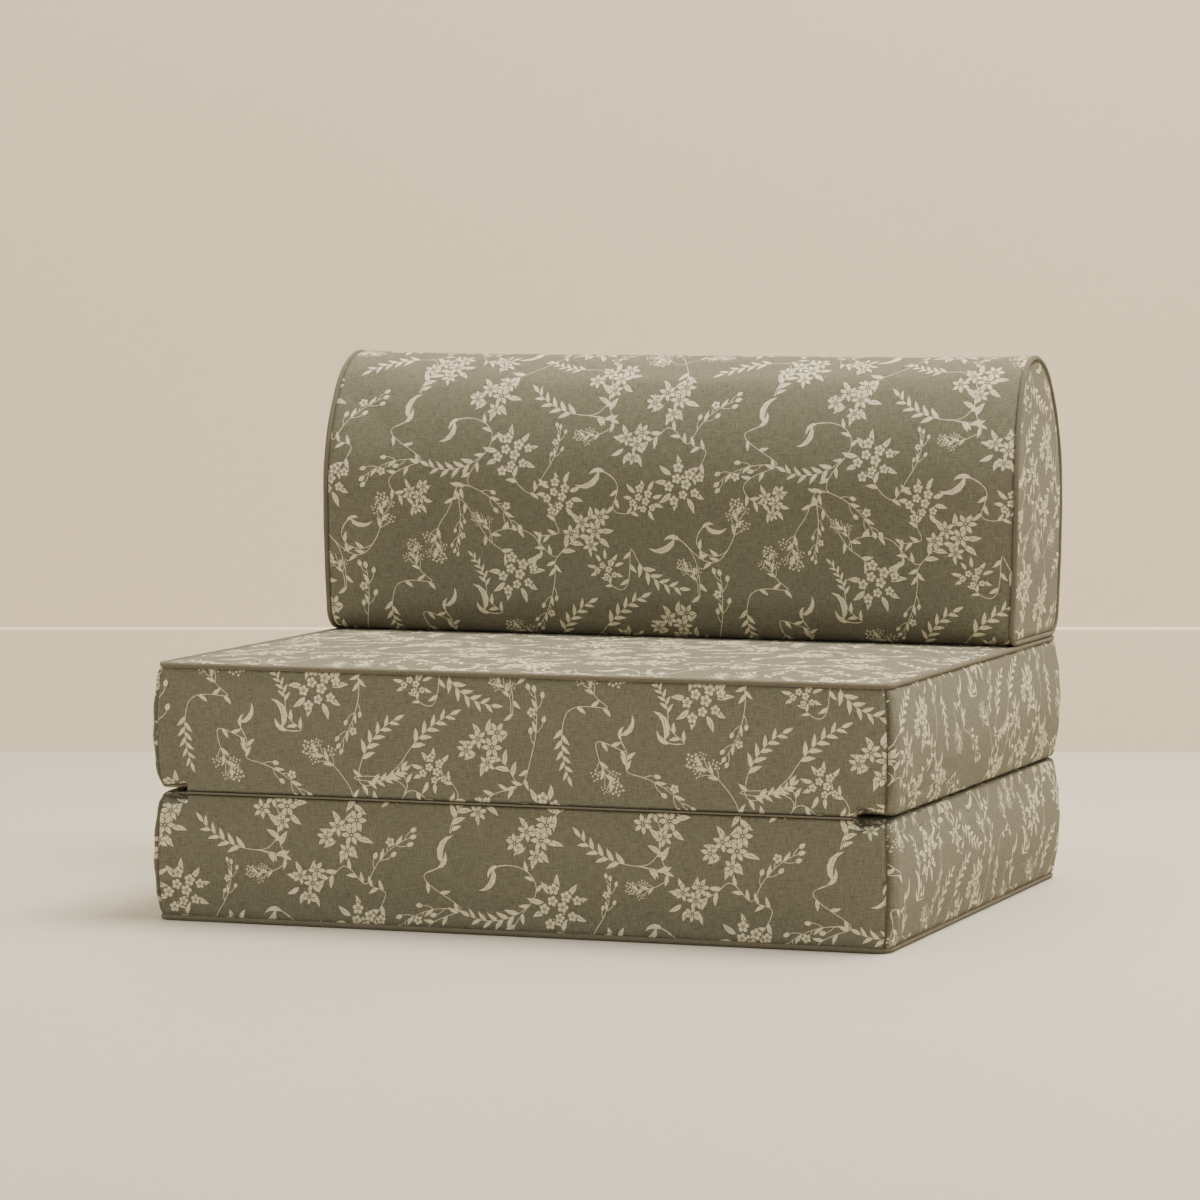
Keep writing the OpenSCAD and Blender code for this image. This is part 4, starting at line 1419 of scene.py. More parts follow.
class Nodes:
    """A small helper that builds a geometry node tree from left to right."""

    def __init__(self, name: str) -> None:
        """Starts an empty tree with a geometry output."""
        self.tree = bpy.data.node_groups.new(name, "GeometryNodeTree")
        self.tree.interface.new_socket("Geometry", in_out="OUTPUT",
                                       socket_type="NodeSocketGeometry")
        self.inlet = self.tree.nodes.new("NodeGroupInput")
        self.outlet = self.tree.nodes.new("NodeGroupOutput")

    def setting(self, name: str, kind: str) -> str:
        """Adds a named input and gives its identifier."""
        return self.tree.interface.new_socket(name, in_out="INPUT", socket_type=kind).identifier

    def add(self, kind: str, **settings: object) -> bpy.types.Node:
        """Adds a node and sets its options."""
        node = self.tree.nodes.new(kind)
        for key, value in settings.items():
            setattr(node, key, value)
        return node


@dataclass(frozen=True)
class RowMaker:
    """Repeats a small bent loop of thread or coil in a row, with Geometry Nodes.

    Attributes:
        wire: Radius of the thread.
        size: Half sizes of one loop along, across and out from the row.
        sides: Corners round the thread.
        turns: Corners round the loop.
    """

    wire: float
    size: tuple[float, float, float]
    sides: int = 4
    turns: int = 8

    def tree(self) -> tuple[bpy.types.NodeTree, dict[str, str]]:
        """Builds the node tree and gives it with its inputs' identifiers."""
        n = Nodes("thread_row")
        ids = {name: n.setting(name, "NodeSocket" + kind) for name, kind in (
            ("Count", "Int"), ("Start", "Vector"), ("Step", "Vector"),
            ("Seed", "Int"), ("Material", "Material"))}
        row = n.add("GeometryNodeMeshLine")
        loop = n.add("GeometryNodeCurvePrimitiveCircle")
        loop.inputs["Resolution"].default_value = self.turns
        loop.inputs["Radius"].default_value = 1.0
        shape = n.add("GeometryNodeTransform")
        shape.inputs["Scale"].default_value = [s * MM for s in self.size]
        shape.inputs["Rotation"].default_value = (0.0, 0.18, 0.0)
        wire = n.add("GeometryNodeCurvePrimitiveCircle")
        wire.inputs["Resolution"].default_value = self.sides
        wire.inputs["Radius"].default_value = self.wire * MM
        tube = n.add("GeometryNodeCurveToMesh")
        put = n.add("GeometryNodeInstanceOnPoints")
        jitter = n.add("FunctionNodeRandomValue", data_type="FLOAT_VECTOR")
        jitter.inputs["Min"].default_value = (0.96, 0.93, 0.96)
        jitter.inputs["Max"].default_value = (1.04, 1.05, 1.04)
        real = n.add("GeometryNodeRealizeInstances")
        dress = n.add("GeometryNodeSetMaterial")
        soft = n.add("GeometryNodeSetShadeSmooth")
        for source, out, target, into in (
                (n.inlet, "Count", row, "Count"), (n.inlet, "Start", row, "Start Location"),
                (n.inlet, "Step", row, "Offset"), (loop, "Curve", shape, "Geometry"),
                (shape, "Geometry", tube, "Curve"), (wire, "Curve", tube, "Profile Curve"),
                (row, "Mesh", put, "Points"), (tube, "Mesh", put, "Instance"),
                (n.inlet, "Seed", jitter, "Seed"),
                (jitter, "Value", put, "Scale"), (put, "Instances", real, "Geometry"),
                (real, "Geometry", soft, "Geometry"), (soft, "Geometry", dress, "Geometry"),
                (n.inlet, "Material", dress, "Material"),
                (dress, "Geometry", n.outlet, "Geometry")):
            n.tree.links.new(source.outputs[out], target.inputs[into])
        return n.tree, ids

    def build(self, name: str, rows: Sequence[tuple[Vector, Vector, int]],
              material: bpy.types.Material) -> bpy.types.Object:
        """Makes one piece from several rows.

        Args:
            name: The piece's name.
            rows: Each row's start and step in metres, and its number of loops.
            material: The thread's material.

        Returns:
            The piece, as a plain mesh.
        """
        tree, ids = self.tree()
        meshes = []
        for seed, (start, step, count) in enumerate(rows):
            holder = link_object(name + "_row", bpy.data.meshes.new(name + "_row"))
            rule = holder.modifiers.new("Row", "NODES")
            rule.node_group = tree
            for key, value in (("Count", count), ("Start", tuple(start)), ("Step", tuple(step)),
                               ("Seed", seed + 7), ("Material", material)):
                rule[ids[key]] = value
            graph = bpy.context.evaluated_depsgraph_get()
            meshes.append(bpy.data.meshes.new_from_object(holder.evaluated_get(graph)))
            empty = holder.data
            bpy.data.objects.remove(holder)
            bpy.data.meshes.remove(empty)
        work = bmesh.new()
        for mesh in meshes:
            work.from_mesh(mesh)
        joined = bpy.data.meshes.new(name)
        work.to_mesh(joined)
        work.free()
        for mesh in meshes:
            bpy.data.meshes.remove(mesh)
        joined.materials.clear()
        joined.materials.append(material)
        joined.polygons.foreach_set("material_index", np.zeros(len(joined.polygons), np.int32))
        joined.polygons.foreach_set("use_smooth", np.ones(len(joined.polygons), bool))
        return link_object(name, joined)


def linear(red: float, green: float, blue: float) -> tuple[float, float, float, float]:
    """Gives a linear colour from 8-bit screen values."""
    return tuple((c / 255) ** 2.2 for c in (red, green, blue)) + (1.0,)


class Shade:
    """A small helper that builds shader nodes and node groups."""

    def __init__(self, tree: bpy.types.NodeTree) -> None:
        """Works on one node tree."""
        self.tree = tree

    def add(self, kind: str, **settings: object) -> bpy.types.Node:
        """Adds a node and sets its options."""
        node = self.tree.nodes.new("ShaderNode" + kind)
        for key, value in settings.items():
            setattr(node, key, value)
        return node

    def feed(self, socket: bpy.types.NodeSocket, value: object) -> None:
        """Links a socket to another socket, or sets it to a value."""
        if isinstance(value, bpy.types.NodeSocket):
            self.tree.links.new(value, socket)
        else:
            socket.default_value = value

    def bump(self, shader: bpy.types.Node, height: bpy.types.NodeSocket, strength: float,
             distance: float) -> None:
        """Gives a shader a relief of some depth, in metres."""
        node = self.add("Bump")
        node.inputs["Strength"].default_value = strength
        node.inputs["Distance"].default_value = distance
        self.feed(node.inputs["Height"], height)
        self.feed(shader.inputs["Normal"], node.outputs[0])

    def math(self, kind: str, *values: object) -> bpy.types.NodeSocket:
        """Adds a maths node and gives its result."""
        node = self.add("Math", operation=kind)
        for socket, value in zip(node.inputs, values):
            self.feed(socket, value)
        return node.outputs[0]

    def vector(self, kind: str, *values: object) -> bpy.types.NodeSocket:
        """Adds a vector maths node and gives its result."""
        node = self.add("VectorMath", operation=kind)
        for socket, value in zip(node.inputs, values):
            self.feed(socket, value)
        return node.outputs[0]

    def noise(self, vector: bpy.types.NodeSocket, scale: object, detail: float = 2.0,
              rough: float = 0.5) -> bpy.types.NodeSocket:
        """Adds a noise texture and gives its value."""
        node = self.add("TexNoise")
        self.feed(node.inputs["Vector"], vector)
        self.feed(node.inputs["Scale"], scale)
        node.inputs["Detail"].default_value = detail
        node.inputs["Roughness"].default_value = rough
        return node.outputs["Fac"]

    def span(self, value: bpy.types.NodeSocket, low: float, high: float, to_low: float = 0.0,
             to_high: float = 1.0) -> bpy.types.NodeSocket:
        """Maps a value from one range to another, held at both ends."""
        node = self.add("MapRange")
        for socket, part in zip(node.inputs, (value, low, high, to_low, to_high)):
            self.feed(socket, part)
        return node.outputs[0]

    def mix(self, amount: object, first: object, second: object,
            blend: str = "MIX") -> bpy.types.NodeSocket:
        """Mixes two colours and gives the result."""
        node = self.add("Mix", data_type="RGBA", blend_type=blend)
        self.feed(node.inputs[0], amount)
        self.feed(node.inputs[6], first)
        self.feed(node.inputs[7], second)
        return node.outputs[2]


def start_finish(name: str, colour: tuple[float, ...]
                 ) -> tuple[bpy.types.Material, Shade, bpy.types.Node]:
    """Starts a material and gives it with its helper and its shader."""
    material = bpy.data.materials.new(name)
    material.use_nodes = True
    material.diffuse_color = colour
    return (material, Shade(material.node_tree),
            material.node_tree.nodes["Principled BSDF"])


def weave_group() -> bpy.types.NodeTree:
    """Builds the plain weave that every cloth shares.

    Returns:
        A group with a Height for bump, and a value that is brighter on raised yarns: painted shade
        in the weave's hollows, plus random slub tone.
    """
    tree = bpy.data.node_groups.new("Plain weave", "ShaderNodeTree")
    face = tree.interface
    face.new_socket("Vector", in_out="INPUT", socket_type="NodeSocketVector")
    for name, value in (("Threads", 1000.0), ("Slub", 0.6), ("Relief", 1.0)):
        face.new_socket(name, in_out="INPUT", socket_type="NodeSocketFloat").default_value = value
    for name in ("Height", "Tone"):
        face.new_socket(name, in_out="OUTPUT", socket_type="NodeSocketFloat")
    s = Shade(tree)
    inlet, outlet = tree.nodes.new("NodeGroupInput"), tree.nodes.new("NodeGroupOutput")
    where = inlet.outputs["Vector"]
    wobble = s.add("CombineXYZ")
    s.feed(wobble.inputs[0], s.math("MULTIPLY", s.noise(where, 90.0), 0.0012))
    s.feed(wobble.inputs[1], s.math("MULTIPLY", s.noise(s.vector("ADD", where, (3, 5, 0)), 80.0),
                                    0.0012))
    bent = s.vector("ADD", where, wobble.outputs[0])
    split = s.add("SeparateXYZ")
    s.feed(split.inputs[0], bent)
    x = s.math("MULTIPLY", split.outputs[0], inlet.outputs["Threads"])
    y = s.math("MULTIPLY", split.outputs[1], inlet.outputs["Threads"])
    warp = s.math("ABSOLUTE", s.math("SINE", s.math("MULTIPLY", x, math.pi)))
    weft = s.math("ABSOLUTE", s.math("SINE", s.math("MULTIPLY", y, math.pi)))
    cell = s.math("ADD", s.math("FLOOR", x), s.math("FLOOR", y))
    over = s.math("PINGPONG", cell, 1.0)
    warp_up = s.math("MULTIPLY", warp, s.math("MULTIPLY_ADD", weft, 0.55, 0.45))
    weft_up = s.math("MULTIPLY", weft, s.math("MULTIPLY_ADD", warp, 0.55, 0.45))
    swap = s.add("Mix", data_type="FLOAT")
    for index, value in ((0, over), (2, warp_up), (3, weft_up)):
        s.feed(swap.inputs[index], value)
    yarn = swap.outputs[0]
    streaks = []
    for stretch in ((1.0, 0.12, 1.0), (0.12, 1.0, 1.0)):
        long = s.vector("MULTIPLY", where, stretch)
        streaks.append(s.noise(long, 900.0, 2.0, 0.7))
        streaks.append(s.noise(long, 420.0, 1.0, 0.5))
    fine = s.math("ADD", s.math("ADD", streaks[0], streaks[2]),
                  s.math("MULTIPLY", s.math("ADD", streaks[1], streaks[3]), 0.22))
    slub = s.span(fine, 0.82, 1.62)
    uneven = s.math("MULTIPLY", s.math("SUBTRACT", slub, 0.5), inlet.outputs["Slub"])
    height = s.math("ADD", s.math("MULTIPLY", yarn, 0.6), uneven)
    s.feed(outlet.inputs["Height"], s.math("MULTIPLY", height, inlet.outputs["Relief"]))
    # Painted shade: raised yarns come out lighter and low ones darker, standing in for shade in
    # the weave's hollows; the slub part is random yarn tone.
    yarn_shade_and_tone = s.math("ADD", s.math("MULTIPLY_ADD", yarn, 0.5, 0.22), uneven)
    s.feed(outlet.inputs["Tone"], yarn_shade_and_tone)
    return tree


def wear_group() -> bpy.types.NodeTree:
    """Builds the soft, large-scale fading and handling marks that all cloth shares."""
    tree = bpy.data.node_groups.new("Soft wear", "ShaderNodeTree")
    tree.interface.new_socket("Vector", in_out="INPUT", socket_type="NodeSocketVector")
    amount = tree.interface.new_socket("Amount", in_out="INPUT", socket_type="NodeSocketFloat")
    amount.default_value = 0.1
    tree.interface.new_socket("Fade", in_out="OUTPUT", socket_type="NodeSocketFloat")
    s = Shade(tree)
    inlet, outlet = tree.nodes.new("NodeGroupInput"), tree.nodes.new("NodeGroupOutput")
    broad = s.noise(inlet.outputs["Vector"], 5.0, 3.0, 0.6)
    small = s.noise(inlet.outputs["Vector"], 38.0, 2.0, 0.55)
    both = s.math("MULTIPLY_ADD", small, 0.4, s.math("MULTIPLY", broad, 0.6))
    fade = s.math("MULTIPLY", s.math("SUBTRACT", both, 0.5), inlet.outputs["Amount"])
    s.feed(outlet.inputs["Fade"], s.math("ADD", fade, 1.0))
    return tree


class Groups:
    """The node groups that several finishes use, each built once."""

    made: dict[str, bpy.types.NodeTree] = {}

    @classmethod
    def get(cls, maker: Callable[[], bpy.types.NodeTree]) -> bpy.types.NodeTree:
        """Gives a group, building it the first time."""
        if maker.__name__ not in cls.made:
            cls.made[maker.__name__] = maker()
        return cls.made[maker.__name__]


@dataclass(frozen=True)
class ClothFinish:
    """A woven cloth with its own yarn colours, weave and softness.

    Attributes:
        name: The material's name.
        dark: Colour of the low yarns, darker as painted shade in the weave's hollows.
        light: Colour of the raised yarns.
        threads: Yarns in a metre.
        slub: How uneven the yarns are.
        relief: Depth of the weave, in metres.
        sheen: Strength of the soft bloom at grazing angles.
        over: Ground colour that shows through a printed motif, or None.
    """

    name: str
    dark: tuple[float, float, float, float]
    light: tuple[float, float, float, float]
    threads: float = 820.0
    slub: float = 0.8
    relief: float = 0.0006
    sheen: float = 0.12
    rough: float = 0.88
    over: tuple[float, float, float, float] | None = None
    use_uv: bool = True
    wear: float = 0.16

    def build(self) -> bpy.types.Material:
        """Makes the material."""
        material, s, shader = start_finish(self.name, self.light)
        if self.use_uv:
            where = s.add("UVMap", uv_map="weave").outputs[0]
        else:
            where = s.add("TexCoord").outputs["Object"]
        weave = s.add("Group", node_tree=Groups.get(weave_group))
        s.feed(weave.inputs["Vector"], where)
        for name, value in (("Threads", self.threads), ("Slub", self.slub), ("Relief", 1.0)):
            weave.inputs[name].default_value = value
        wear = s.add("Group", node_tree=Groups.get(wear_group))
        s.feed(wear.inputs["Vector"], s.add("TexCoord").outputs["Object"])
        wear.inputs["Amount"].default_value = self.wear
        yarn_shade_and_tone = s.span(weave.outputs["Tone"], 0.12, 0.85)
        # Painted shade: the low yarns take the darker colour, and the slub adds random tone.
        colour = s.mix(yarn_shade_and_tone, self.dark, self.light)
        if self.over is not None:
            thin = s.span(s.noise(where, 420.0, 2.0, 0.7), 0.62, 0.8, 0.0, 0.5)
            low = s.span(weave.outputs["Tone"], 0.3, 0.05, 0.0, 0.45)
            colour = s.mix(s.math("MAXIMUM", thin, low), colour, self.over)
        # Painted shade: the cloth darkens by up to half towards the seams, standing in for shade
        # in the seam ditches; the wear fade is random handling marks.
        crease = s.span(s.add("Attribute", attribute_name="seam").outputs["Fac"], 0.25, 1.0,
                        1.0, 0.5)
        wear_and_seam_shade = s.add("HueSaturation")
        s.feed(wear_and_seam_shade.inputs["Value"], s.math("MULTIPLY", wear.outputs["Fade"], crease))
        s.feed(wear_and_seam_shade.inputs["Color"], colour)
        s.feed(shader.inputs["Base Color"], wear_and_seam_shade.outputs[0])
        s.feed(shader.inputs["Roughness"], s.span(yarn_shade_and_tone, 0.0, 1.0, self.rough + 0.06,
                                                  self.rough - 0.06))
        s.bump(shader, weave.outputs["Height"], 0.9, self.relief)
        shader.inputs["Sheen Weight"].default_value = self.sheen
        shader.inputs["Sheen Roughness"].default_value = 0.45
        shader.inputs["Sheen Tint"].default_value = (1.0, 0.95, 0.86, 1.0)
        shader.inputs["Specular IOR Level"].default_value = 0.22
        return material


@dataclass(frozen=True)
class MetalFinish:
    """Brushed, lightly rubbed zip metal."""

    name: str
    colour: tuple[float, float, float, float]
    rough: float = 0.32

    def build(self) -> bpy.types.Material:
        """Makes the material."""
        material, s, shader = start_finish(self.name, self.colour)
        where = s.add("TexCoord").outputs["Object"]
        brushed = s.noise(s.vector("MULTIPLY", where, (0.1, 1.0, 1.0)), 5200.0, 2.0, 0.6)
        rubbed = s.span(s.noise(where, 260.0, 3.0, 0.6), 0.42, 0.62)
        dull = tuple(0.72 * c for c in self.colour[:3]) + (1.0,)
        s.feed(shader.inputs["Base Color"], s.mix(rubbed, dull, self.colour))
        s.feed(shader.inputs["Roughness"], s.span(brushed, 0.3, 0.7, self.rough + 0.1,
                                                  self.rough - 0.06))
        s.bump(shader, brushed, 0.3, 0.00004)
        shader.inputs["Metallic"].default_value = 1.0
        return material


@dataclass(frozen=True)
class SoftFinish:
    """A plain soft or moulded surface with fine grain: foam, fibre, nylon or painted wall."""

    name: str
    colour: tuple[float, float, float, float]
    scale: float
    depth: float
    contrast: float = 0.12
    rough: float = 0.9
    specular: float = 0.3
    one_sided: bool = False

    def build(self) -> bpy.types.Material:
        """Makes the material."""
        material, s, shader = start_finish(self.name, self.colour)
        if self.one_sided:
            self.open_back(s, shader)
        where = s.add("TexCoord").outputs["Object"]
        grain = s.noise(where, self.scale, 3.0, 0.6)
        cloud = s.noise(where, self.scale / 40.0, 2.0, 0.5)
        low = tuple(c * (1.0 - self.contrast) for c in self.colour[:3]) + (1.0,)
        both = s.math("MULTIPLY_ADD", cloud, 0.5, s.math("MULTIPLY", grain, 0.5))
        s.feed(shader.inputs["Base Color"], s.mix(s.span(both, 0.35, 0.65), low, self.colour))
        s.feed(shader.inputs["Roughness"], s.span(grain, 0.3, 0.7, self.rough + 0.05,
                                                  self.rough - 0.05))
        s.bump(shader, grain, 0.4, self.depth)
        shader.inputs["Specular IOR Level"].default_value = self.specular
        return material

    @staticmethod
    def open_back(s: "Shade", shader: bpy.types.Node) -> None:
        """Lets an eye behind a wall see into the room, and keeps the light in."""
        seen = s.add("LightPath").outputs["Is Camera Ray"]
        behind = s.add("NewGeometry").outputs["Backfacing"]
        mixed = s.add("MixShader")
        s.feed(mixed.inputs[0], s.math("MULTIPLY", seen, behind))
        s.feed(mixed.inputs[1], shader.outputs[0])
        s.feed(mixed.inputs[2], s.add("BsdfTransparent").outputs[0])
        output = next(n for n in s.tree.nodes if n.bl_idname == "ShaderNodeOutputMaterial")
        s.feed(output.inputs[0], mixed.outputs[0])


class Finishes:
    """Every material of the seat."""

    def __init__(self) -> None:
        """Makes the materials."""
        # Each cloth's first colour is painted shade on its low yarns; the second is its raised
        # yarns.
        ground_dark, ground_light = linear(91, 88, 74), linear(134, 130, 110)
        self.ground = ClothFinish("printed_cotton_ground", ground_dark, ground_light).build()
        self.ink = ClothFinish("printed_cotton_motif", linear(196, 187, 156),
                               linear(247, 236, 202), over=ground_light, wear=0.1).build()
        self.plain = ClothFinish("plain_base_cloth", linear(86, 80, 62), linear(122, 113, 90),
                                 threads=1100.0, slub=0.3).build()
        self.piping = ClothFinish("piping_cloth", linear(88, 83, 69), linear(130, 123, 103),
                                  threads=1100.0, slub=0.5, sheen=0.16).build()
        self.strip = ClothFinish("hinge_strip_cloth", linear(92, 87, 71), linear(132, 125, 104),
                                 threads=1300.0, slub=0.4, relief=0.0003).build()
        self.zip_tape = ClothFinish("zip_tape_weave", linear(86, 80, 62), linear(110, 102, 80),
                                    threads=1900.0, slub=0.15, relief=0.0002,
                                    use_uv=False).build()
        self.label = ClothFinish("label_ribbon", linear(214, 209, 196), linear(236, 232, 220),
                                 threads=2300.0, slub=0.1, relief=0.00012, rough=0.6,
                                 use_uv=False).build()
        self.thread = SoftFinish("sewing_thread", linear(150, 139, 110), 3500.0, 0.00005,
                                 0.3, 0.6).build()
        self.coil = SoftFinish("zip_coil_nylon", linear(128, 118, 92), 3000.0, 0.00002, 0.15,
                               0.42, 0.5).build()
        self.metal = MetalFinish("zip_slider_metal", linear(196, 184, 154)).build()
        self.foam = SoftFinish("cushion_foam", linear(238, 230, 205), 900.0, 0.0006, 0.14).build()
        self.fibre = SoftFinish("polyester_wadding", linear(240, 240, 238), 420.0, 0.0012,
                                0.08).build()

    def cover(self) -> list[bpy.types.Material]:
        """Gives the cover's materials in slot order."""
        return [self.ground, self.ink, self.plain]


@dataclass(frozen=True)
class Studio:
    """The plain pale set, its soft lights and the camera."""

    camera_at: tuple[float, float, float] = (1.847, -5.309, 0.729)
    look_at: tuple[float, float, float] = (-0.059, 0.100, 0.316)
    lens: float = 156.0
    wall_gap: float = 7.19
    skirting: float = 0.17
    board: float = 0.0035

    def build(self) -> None:
        """Sets up the floor, the wall, the lights and the camera."""
        eye, aim = Vector(self.camera_at), Vector(self.look_at)
        ahead = Vector((aim.x - eye.x, aim.y - eye.y, 0)).normalized()
        side = Vector((ahead.y, -ahead.x, 0))
        middle = Vector((eye.x, eye.y, 0)) + ahead * self.wall_gap
        near = middle - ahead * 14
        wide, tall = side * 9, Vector((0, 0, 6))
        floor = SoftFinish("floor_paint", linear(197, 191, 177), 60.0, 0.0002, 0.03, 0.6).build()
        wall = SoftFinish("wall_paint", linear(231, 215, 186), 60.0, 0.0003, 0.03, 0.8,
                          one_sided=True).build()
        board = SoftFinish("skirting_paint", linear(233, 219, 192), 60.0, 0.0001, 0.02, 0.6,
                           one_sided=True).build()
        self.sheet("floor", [near - wide, near + wide, middle + wide, middle - wide], floor)
        self.sheet("wall", [middle - wide, middle + wide, middle + wide + tall,
                            middle - wide + tall], wall)
        front = middle - ahead * self.board
        up, slope = Vector((0, 0, self.skirting)), Vector((0, 0, self.board))
        self.sheet("skirting", [front - wide, front + wide, front + wide + up,
                                front - wide + up], board)
        self.sheet("skirting_top", [front - wide + up, front + wide + up,
                                    middle + wide + up + slope, middle - wide + up + slope], board)
        self.lamp("key", (1.45, 0.6, 4.5), (0.0, 0.0, 0.3), 2.4, 425.0, (1.0, 0.94, 0.84))
        self.lamp("fill", (-0.4, -5.2, 2.6), (0.0, 0.0, 0.2), 3.2, 47.0, (1.0, 0.95, 0.88))
        self.lamp("wash", (-1.5, -1.5, 4.6), (0.2, 2.0, 0.6), 3.0, 80.0, (1.0, 0.94, 0.85))
        world = bpy.data.worlds.new("soft_room")
        world.use_nodes = True
        back = world.node_tree.nodes["Background"]
        back.inputs[0].default_value = (1.0, 0.95, 0.88, 1.0)
        back.inputs[1].default_value = 0.5
        bpy.context.scene.world = world
        camera = bpy.data.cameras.new("camera")
        camera.lens, camera.sensor_width = self.lens, 36.0
        camera.clip_end = 60.0
        holder = link_object("camera", camera)
        holder.location = eye
        holder.rotation_euler = (aim - eye).to_track_quat("-Z", "Y").to_euler()
        bpy.context.scene.camera = holder

    @staticmethod
    def sheet(name: str, corners: list[Vector], material: bpy.types.Material) -> None:
        """Adds one flat surface of the set."""
        mesh = bpy.data.meshes.new(name)
        mesh.from_pydata([tuple(c) for c in corners], [], [(0, 1, 2, 3)])
        mesh.materials.append(material)
        link_object(name, mesh)

    @staticmethod
    def lamp(name: str, at: tuple[float, float, float], aim: tuple[float, float, float],
             size: float, power: float, colour: tuple[float, float, float]) -> None:
        """Adds one square soft light that points at a place."""
        light = bpy.data.lights.new(name, "AREA")
        light.shape, light.size, light.energy, light.color = "SQUARE", size, power, colour
        obj = link_object(name, light)
        obj.location = at
        obj.rotation_euler = (Vector(aim) - Vector(at)).to_track_quat("-Z", "Y").to_euler()


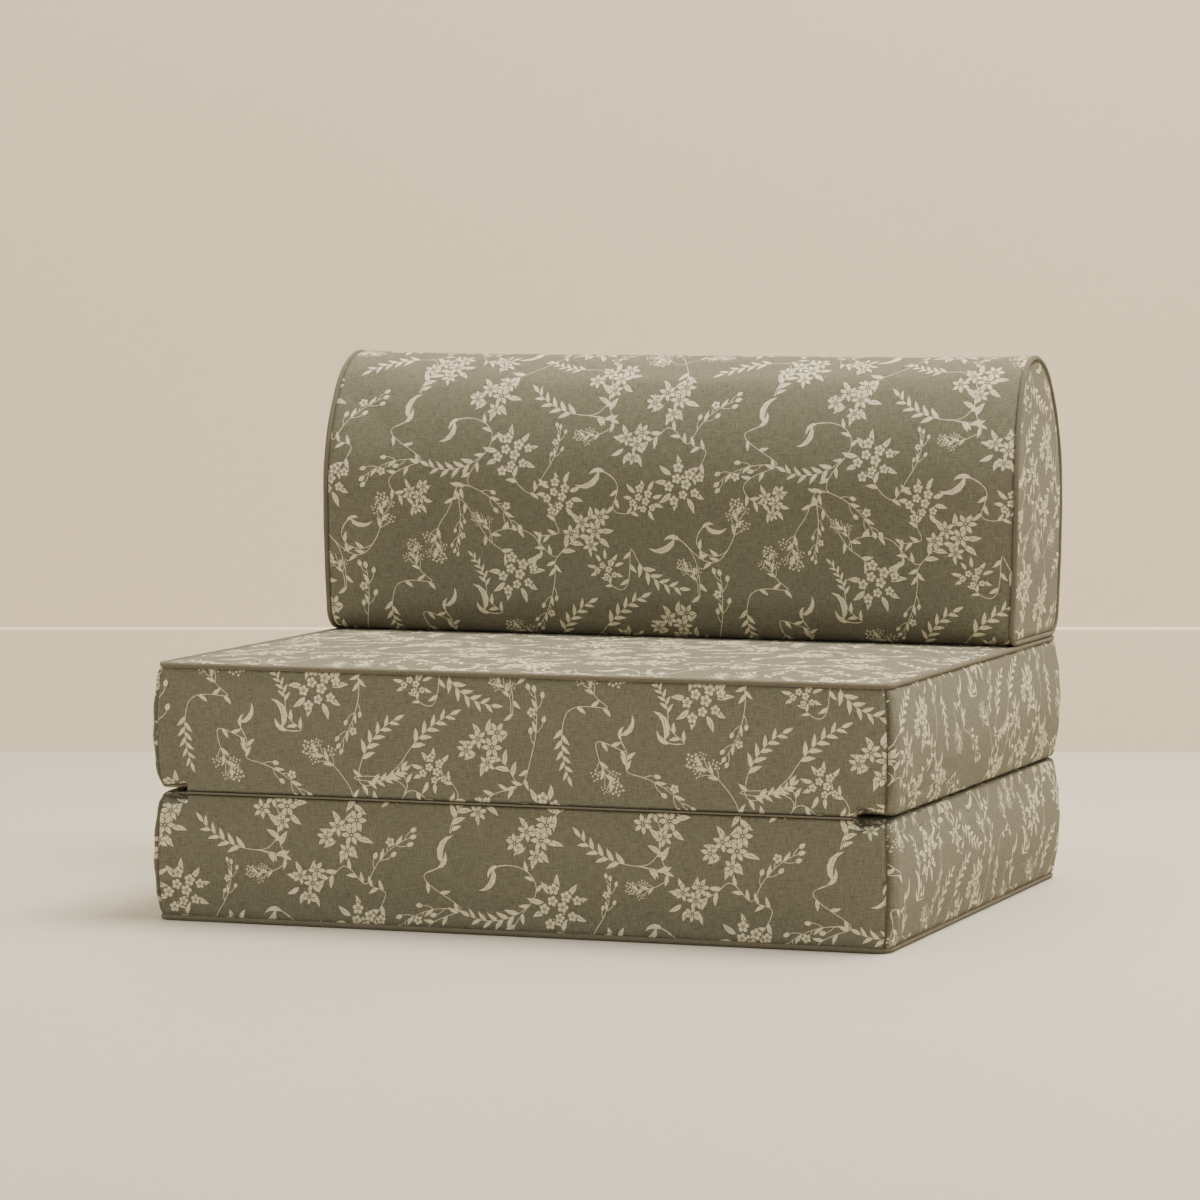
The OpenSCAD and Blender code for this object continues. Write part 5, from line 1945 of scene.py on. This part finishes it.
@dataclass
class Futon:
    """The whole seat: two blocks, the backrest and everything sewn between them."""

    finishes: Finishes
    floral: FloralPrint
    lower: SeatBlock
    upper: SeatBlock
    bolster: Bolster
    cover_step: float = 12.0
    wadding_step: float = 24.0
    wadding_depth: float = 2.6

    def dress(self, obj: bpy.types.Object, body: str, slot: str,
              nodes: Sequence[str] = ()) -> bpy.types.Object:
        """Puts a finished piece on its body, hides the CAD parts that it stands for and logs its
        faces.
        """
        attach(obj, body)
        if nodes:
            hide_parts(*nodes)
        log.info("%s: %d faces on %s", obj.name, len(obj.data.polygons), body)
        return obj

    def cover(self, part: SeatBlock | Bolster, nodes: list[str], wadding: str) -> None:
        """Sews one section's cover and the wadding inside it."""
        casing = part.casing(self.floral, self.finishes.cover())
        casing.simulate()
        cover, _ = casing.sew(casing.name, self.cover_step, True)
        self.dress(cover, part.body, "cover_cloth", nodes)
        for panel in casing.panels:
            panel.depth = self.wadding_depth
        inner = Casing(wadding + "_pad", casing.panels, self.floral, [self.finishes.fibre] * 3)
        pad, _ = inner.sew(inner.name, self.wadding_step, False)
        self.dress(pad, part.body, "wadding", [wadding])

    def piping(self) -> None:
        """Adds the four runs of piping."""
        for block, node in ((self.lower, "lower_base_piping"), (self.upper, "upper_top_piping")):
            path, out = block.piping_path()
            cord = CordPiping(node + "_cord").build(path, out, self.finishes.piping, block.pull)
            self.dress(cord, block.body, "piping_cloth", [node])
        for side, sign in (("left", -1.0), ("right", 1.0)):
            path, out = self.bolster.piping_path(sign)
            cord = CordPiping(f"back_{side}_piping_cord").build(path, out, self.finishes.piping,
                                                                self.bolster.bow)
            self.dress(cord, self.bolster.body, "piping_cloth", [f"back_{side}_piping"])

    def hinges(self) -> None:
        """Adds the two folded strips that join the sections."""
        front = HingeStrip("front_hinge_strip", 364.0, (
            (-311.0, 135.3), (-322.0, 135.3), (-330.0, 135.3), (-336.0, 135.3), (-338.6, 135.35),
            (-339.2, 135.6), (-339.4, 135.9), (-339.2, 136.2), (-338.6, 136.45),
            (-336.0, 136.5), (-330.0, 136.5), (-322.0, 136.5), (-311.0, 136.5)))
        strip = front.build(self.finishes.strip)
        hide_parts("lower_front_hinge_tape", "upper_front_hinge_tape")
        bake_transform(strip)
        rear = HingeStrip("rear_hinge_strip", 354.0, (
            (336.1, 248.0), (336.2, 256.0), (336.9, 262.0), (338.2, 266.5), (339.2, 269.3),
            (339.7, 270.8), (339.8, 271.4), (339.8, 272.1), (339.4, 273.6), (338.2, 277.0),
            (336.6, 282.0), (336.1, 290.0), (336.1, 302.0)), 0.6)
        strip = rear.build(self.finishes.strip)
        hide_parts("upper_rear_hinge_tape", "back_rear_hinge_tape")
        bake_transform(strip)
        thread = RowMaker(0.22, (1.25, 0.2, 0.55))
        first, pitch, count = Vector((-0.351, 0.33655, 0)), Vector((0.0036, 0, 0)), 196
        for name, body, z in (("upper_strip_stitches", "upper_section", 250.5),
                              ("back_strip_stitches", "backrest", 299.5)):
            stitches = thread.build(name, [(first + Vector((0, 0, z * MM)), pitch, count)],
                                    self.finishes.thread)
            self.dress(stitches, body, "hinge_tape")

    def zips(self) -> None:
        """Adds the coils of the three zips."""
        loop = RowMaker(0.3, (0.52, 0.5, 1.05), 4, 8)
        x, y, pitch, count, off_middle = -0.3455, 0.3338, Vector((0.0015, 0, 0)), 461, 1.9
        for name, part in (("lower", self.lower), ("upper", self.upper), ("back", self.bolster)):
            rows = [(Vector((x, y, (part.zip.height + side * off_middle) * MM)), pitch, count)
                    for side in (-1, 1)]
            coils = loop.build(f"{name}_zip_coil_loops", rows, self.finishes.coil)
            self.dress(coils, part.body, "zip_coil", [f"{name}_zip_coils"])

    def kept_nodes(self) -> None:
        """Gives the CAD pieces that stay their finishes."""
        f = self.finishes
        looks = {"foam_core": f.foam, "zip_tapes": f.zip_tape, "zip_stops": f.metal,
                 "zip_slider": f.metal, "zip_pull": f.metal, "care_label": f.label}
        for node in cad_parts:
            for ending, material in looks.items():
                if node.endswith(ending):
                    obj = bpy.data.objects[node]
                    for place in obj.material_slots:
                        place.material = material


def main() -> None:
    """Builds the seat piece by piece and sets the scene."""
    logging.basicConfig(level=logging.INFO, format="%(name)s: %(message)s")
    lower = SeatBlock("lower", 0.0, False, [(30, 20), (0, 0), (-396, -150), (-250, 40),
                                            (120, 60), (60, -80)])
    upper = SeatBlock("upper", 136.8, True, [(-120, 60), (80, 30), (-250, 200), (-40, 230),
                                             (20, 150), (-180, 110)])
    bolster = Bolster([(-205, 30), (40, 60), (-60, 190)])
    futon = Futon(Finishes(), FloralPrint(), lower, upper, bolster)
    futon.cover(lower, lower.replaced(), "lower_wadding")
    futon.cover(upper, upper.replaced(), "upper_wadding")
    futon.cover(bolster, ["back_wrap_panel", "back_rear_panel", "back_base_panel",
                          "back_left_end", "back_right_end"], "back_wadding")
    futon.piping()
    futon.hinges()
    futon.zips()
    futon.kept_nodes()
    Studio().build()


if __name__ == "__main__":
    main()
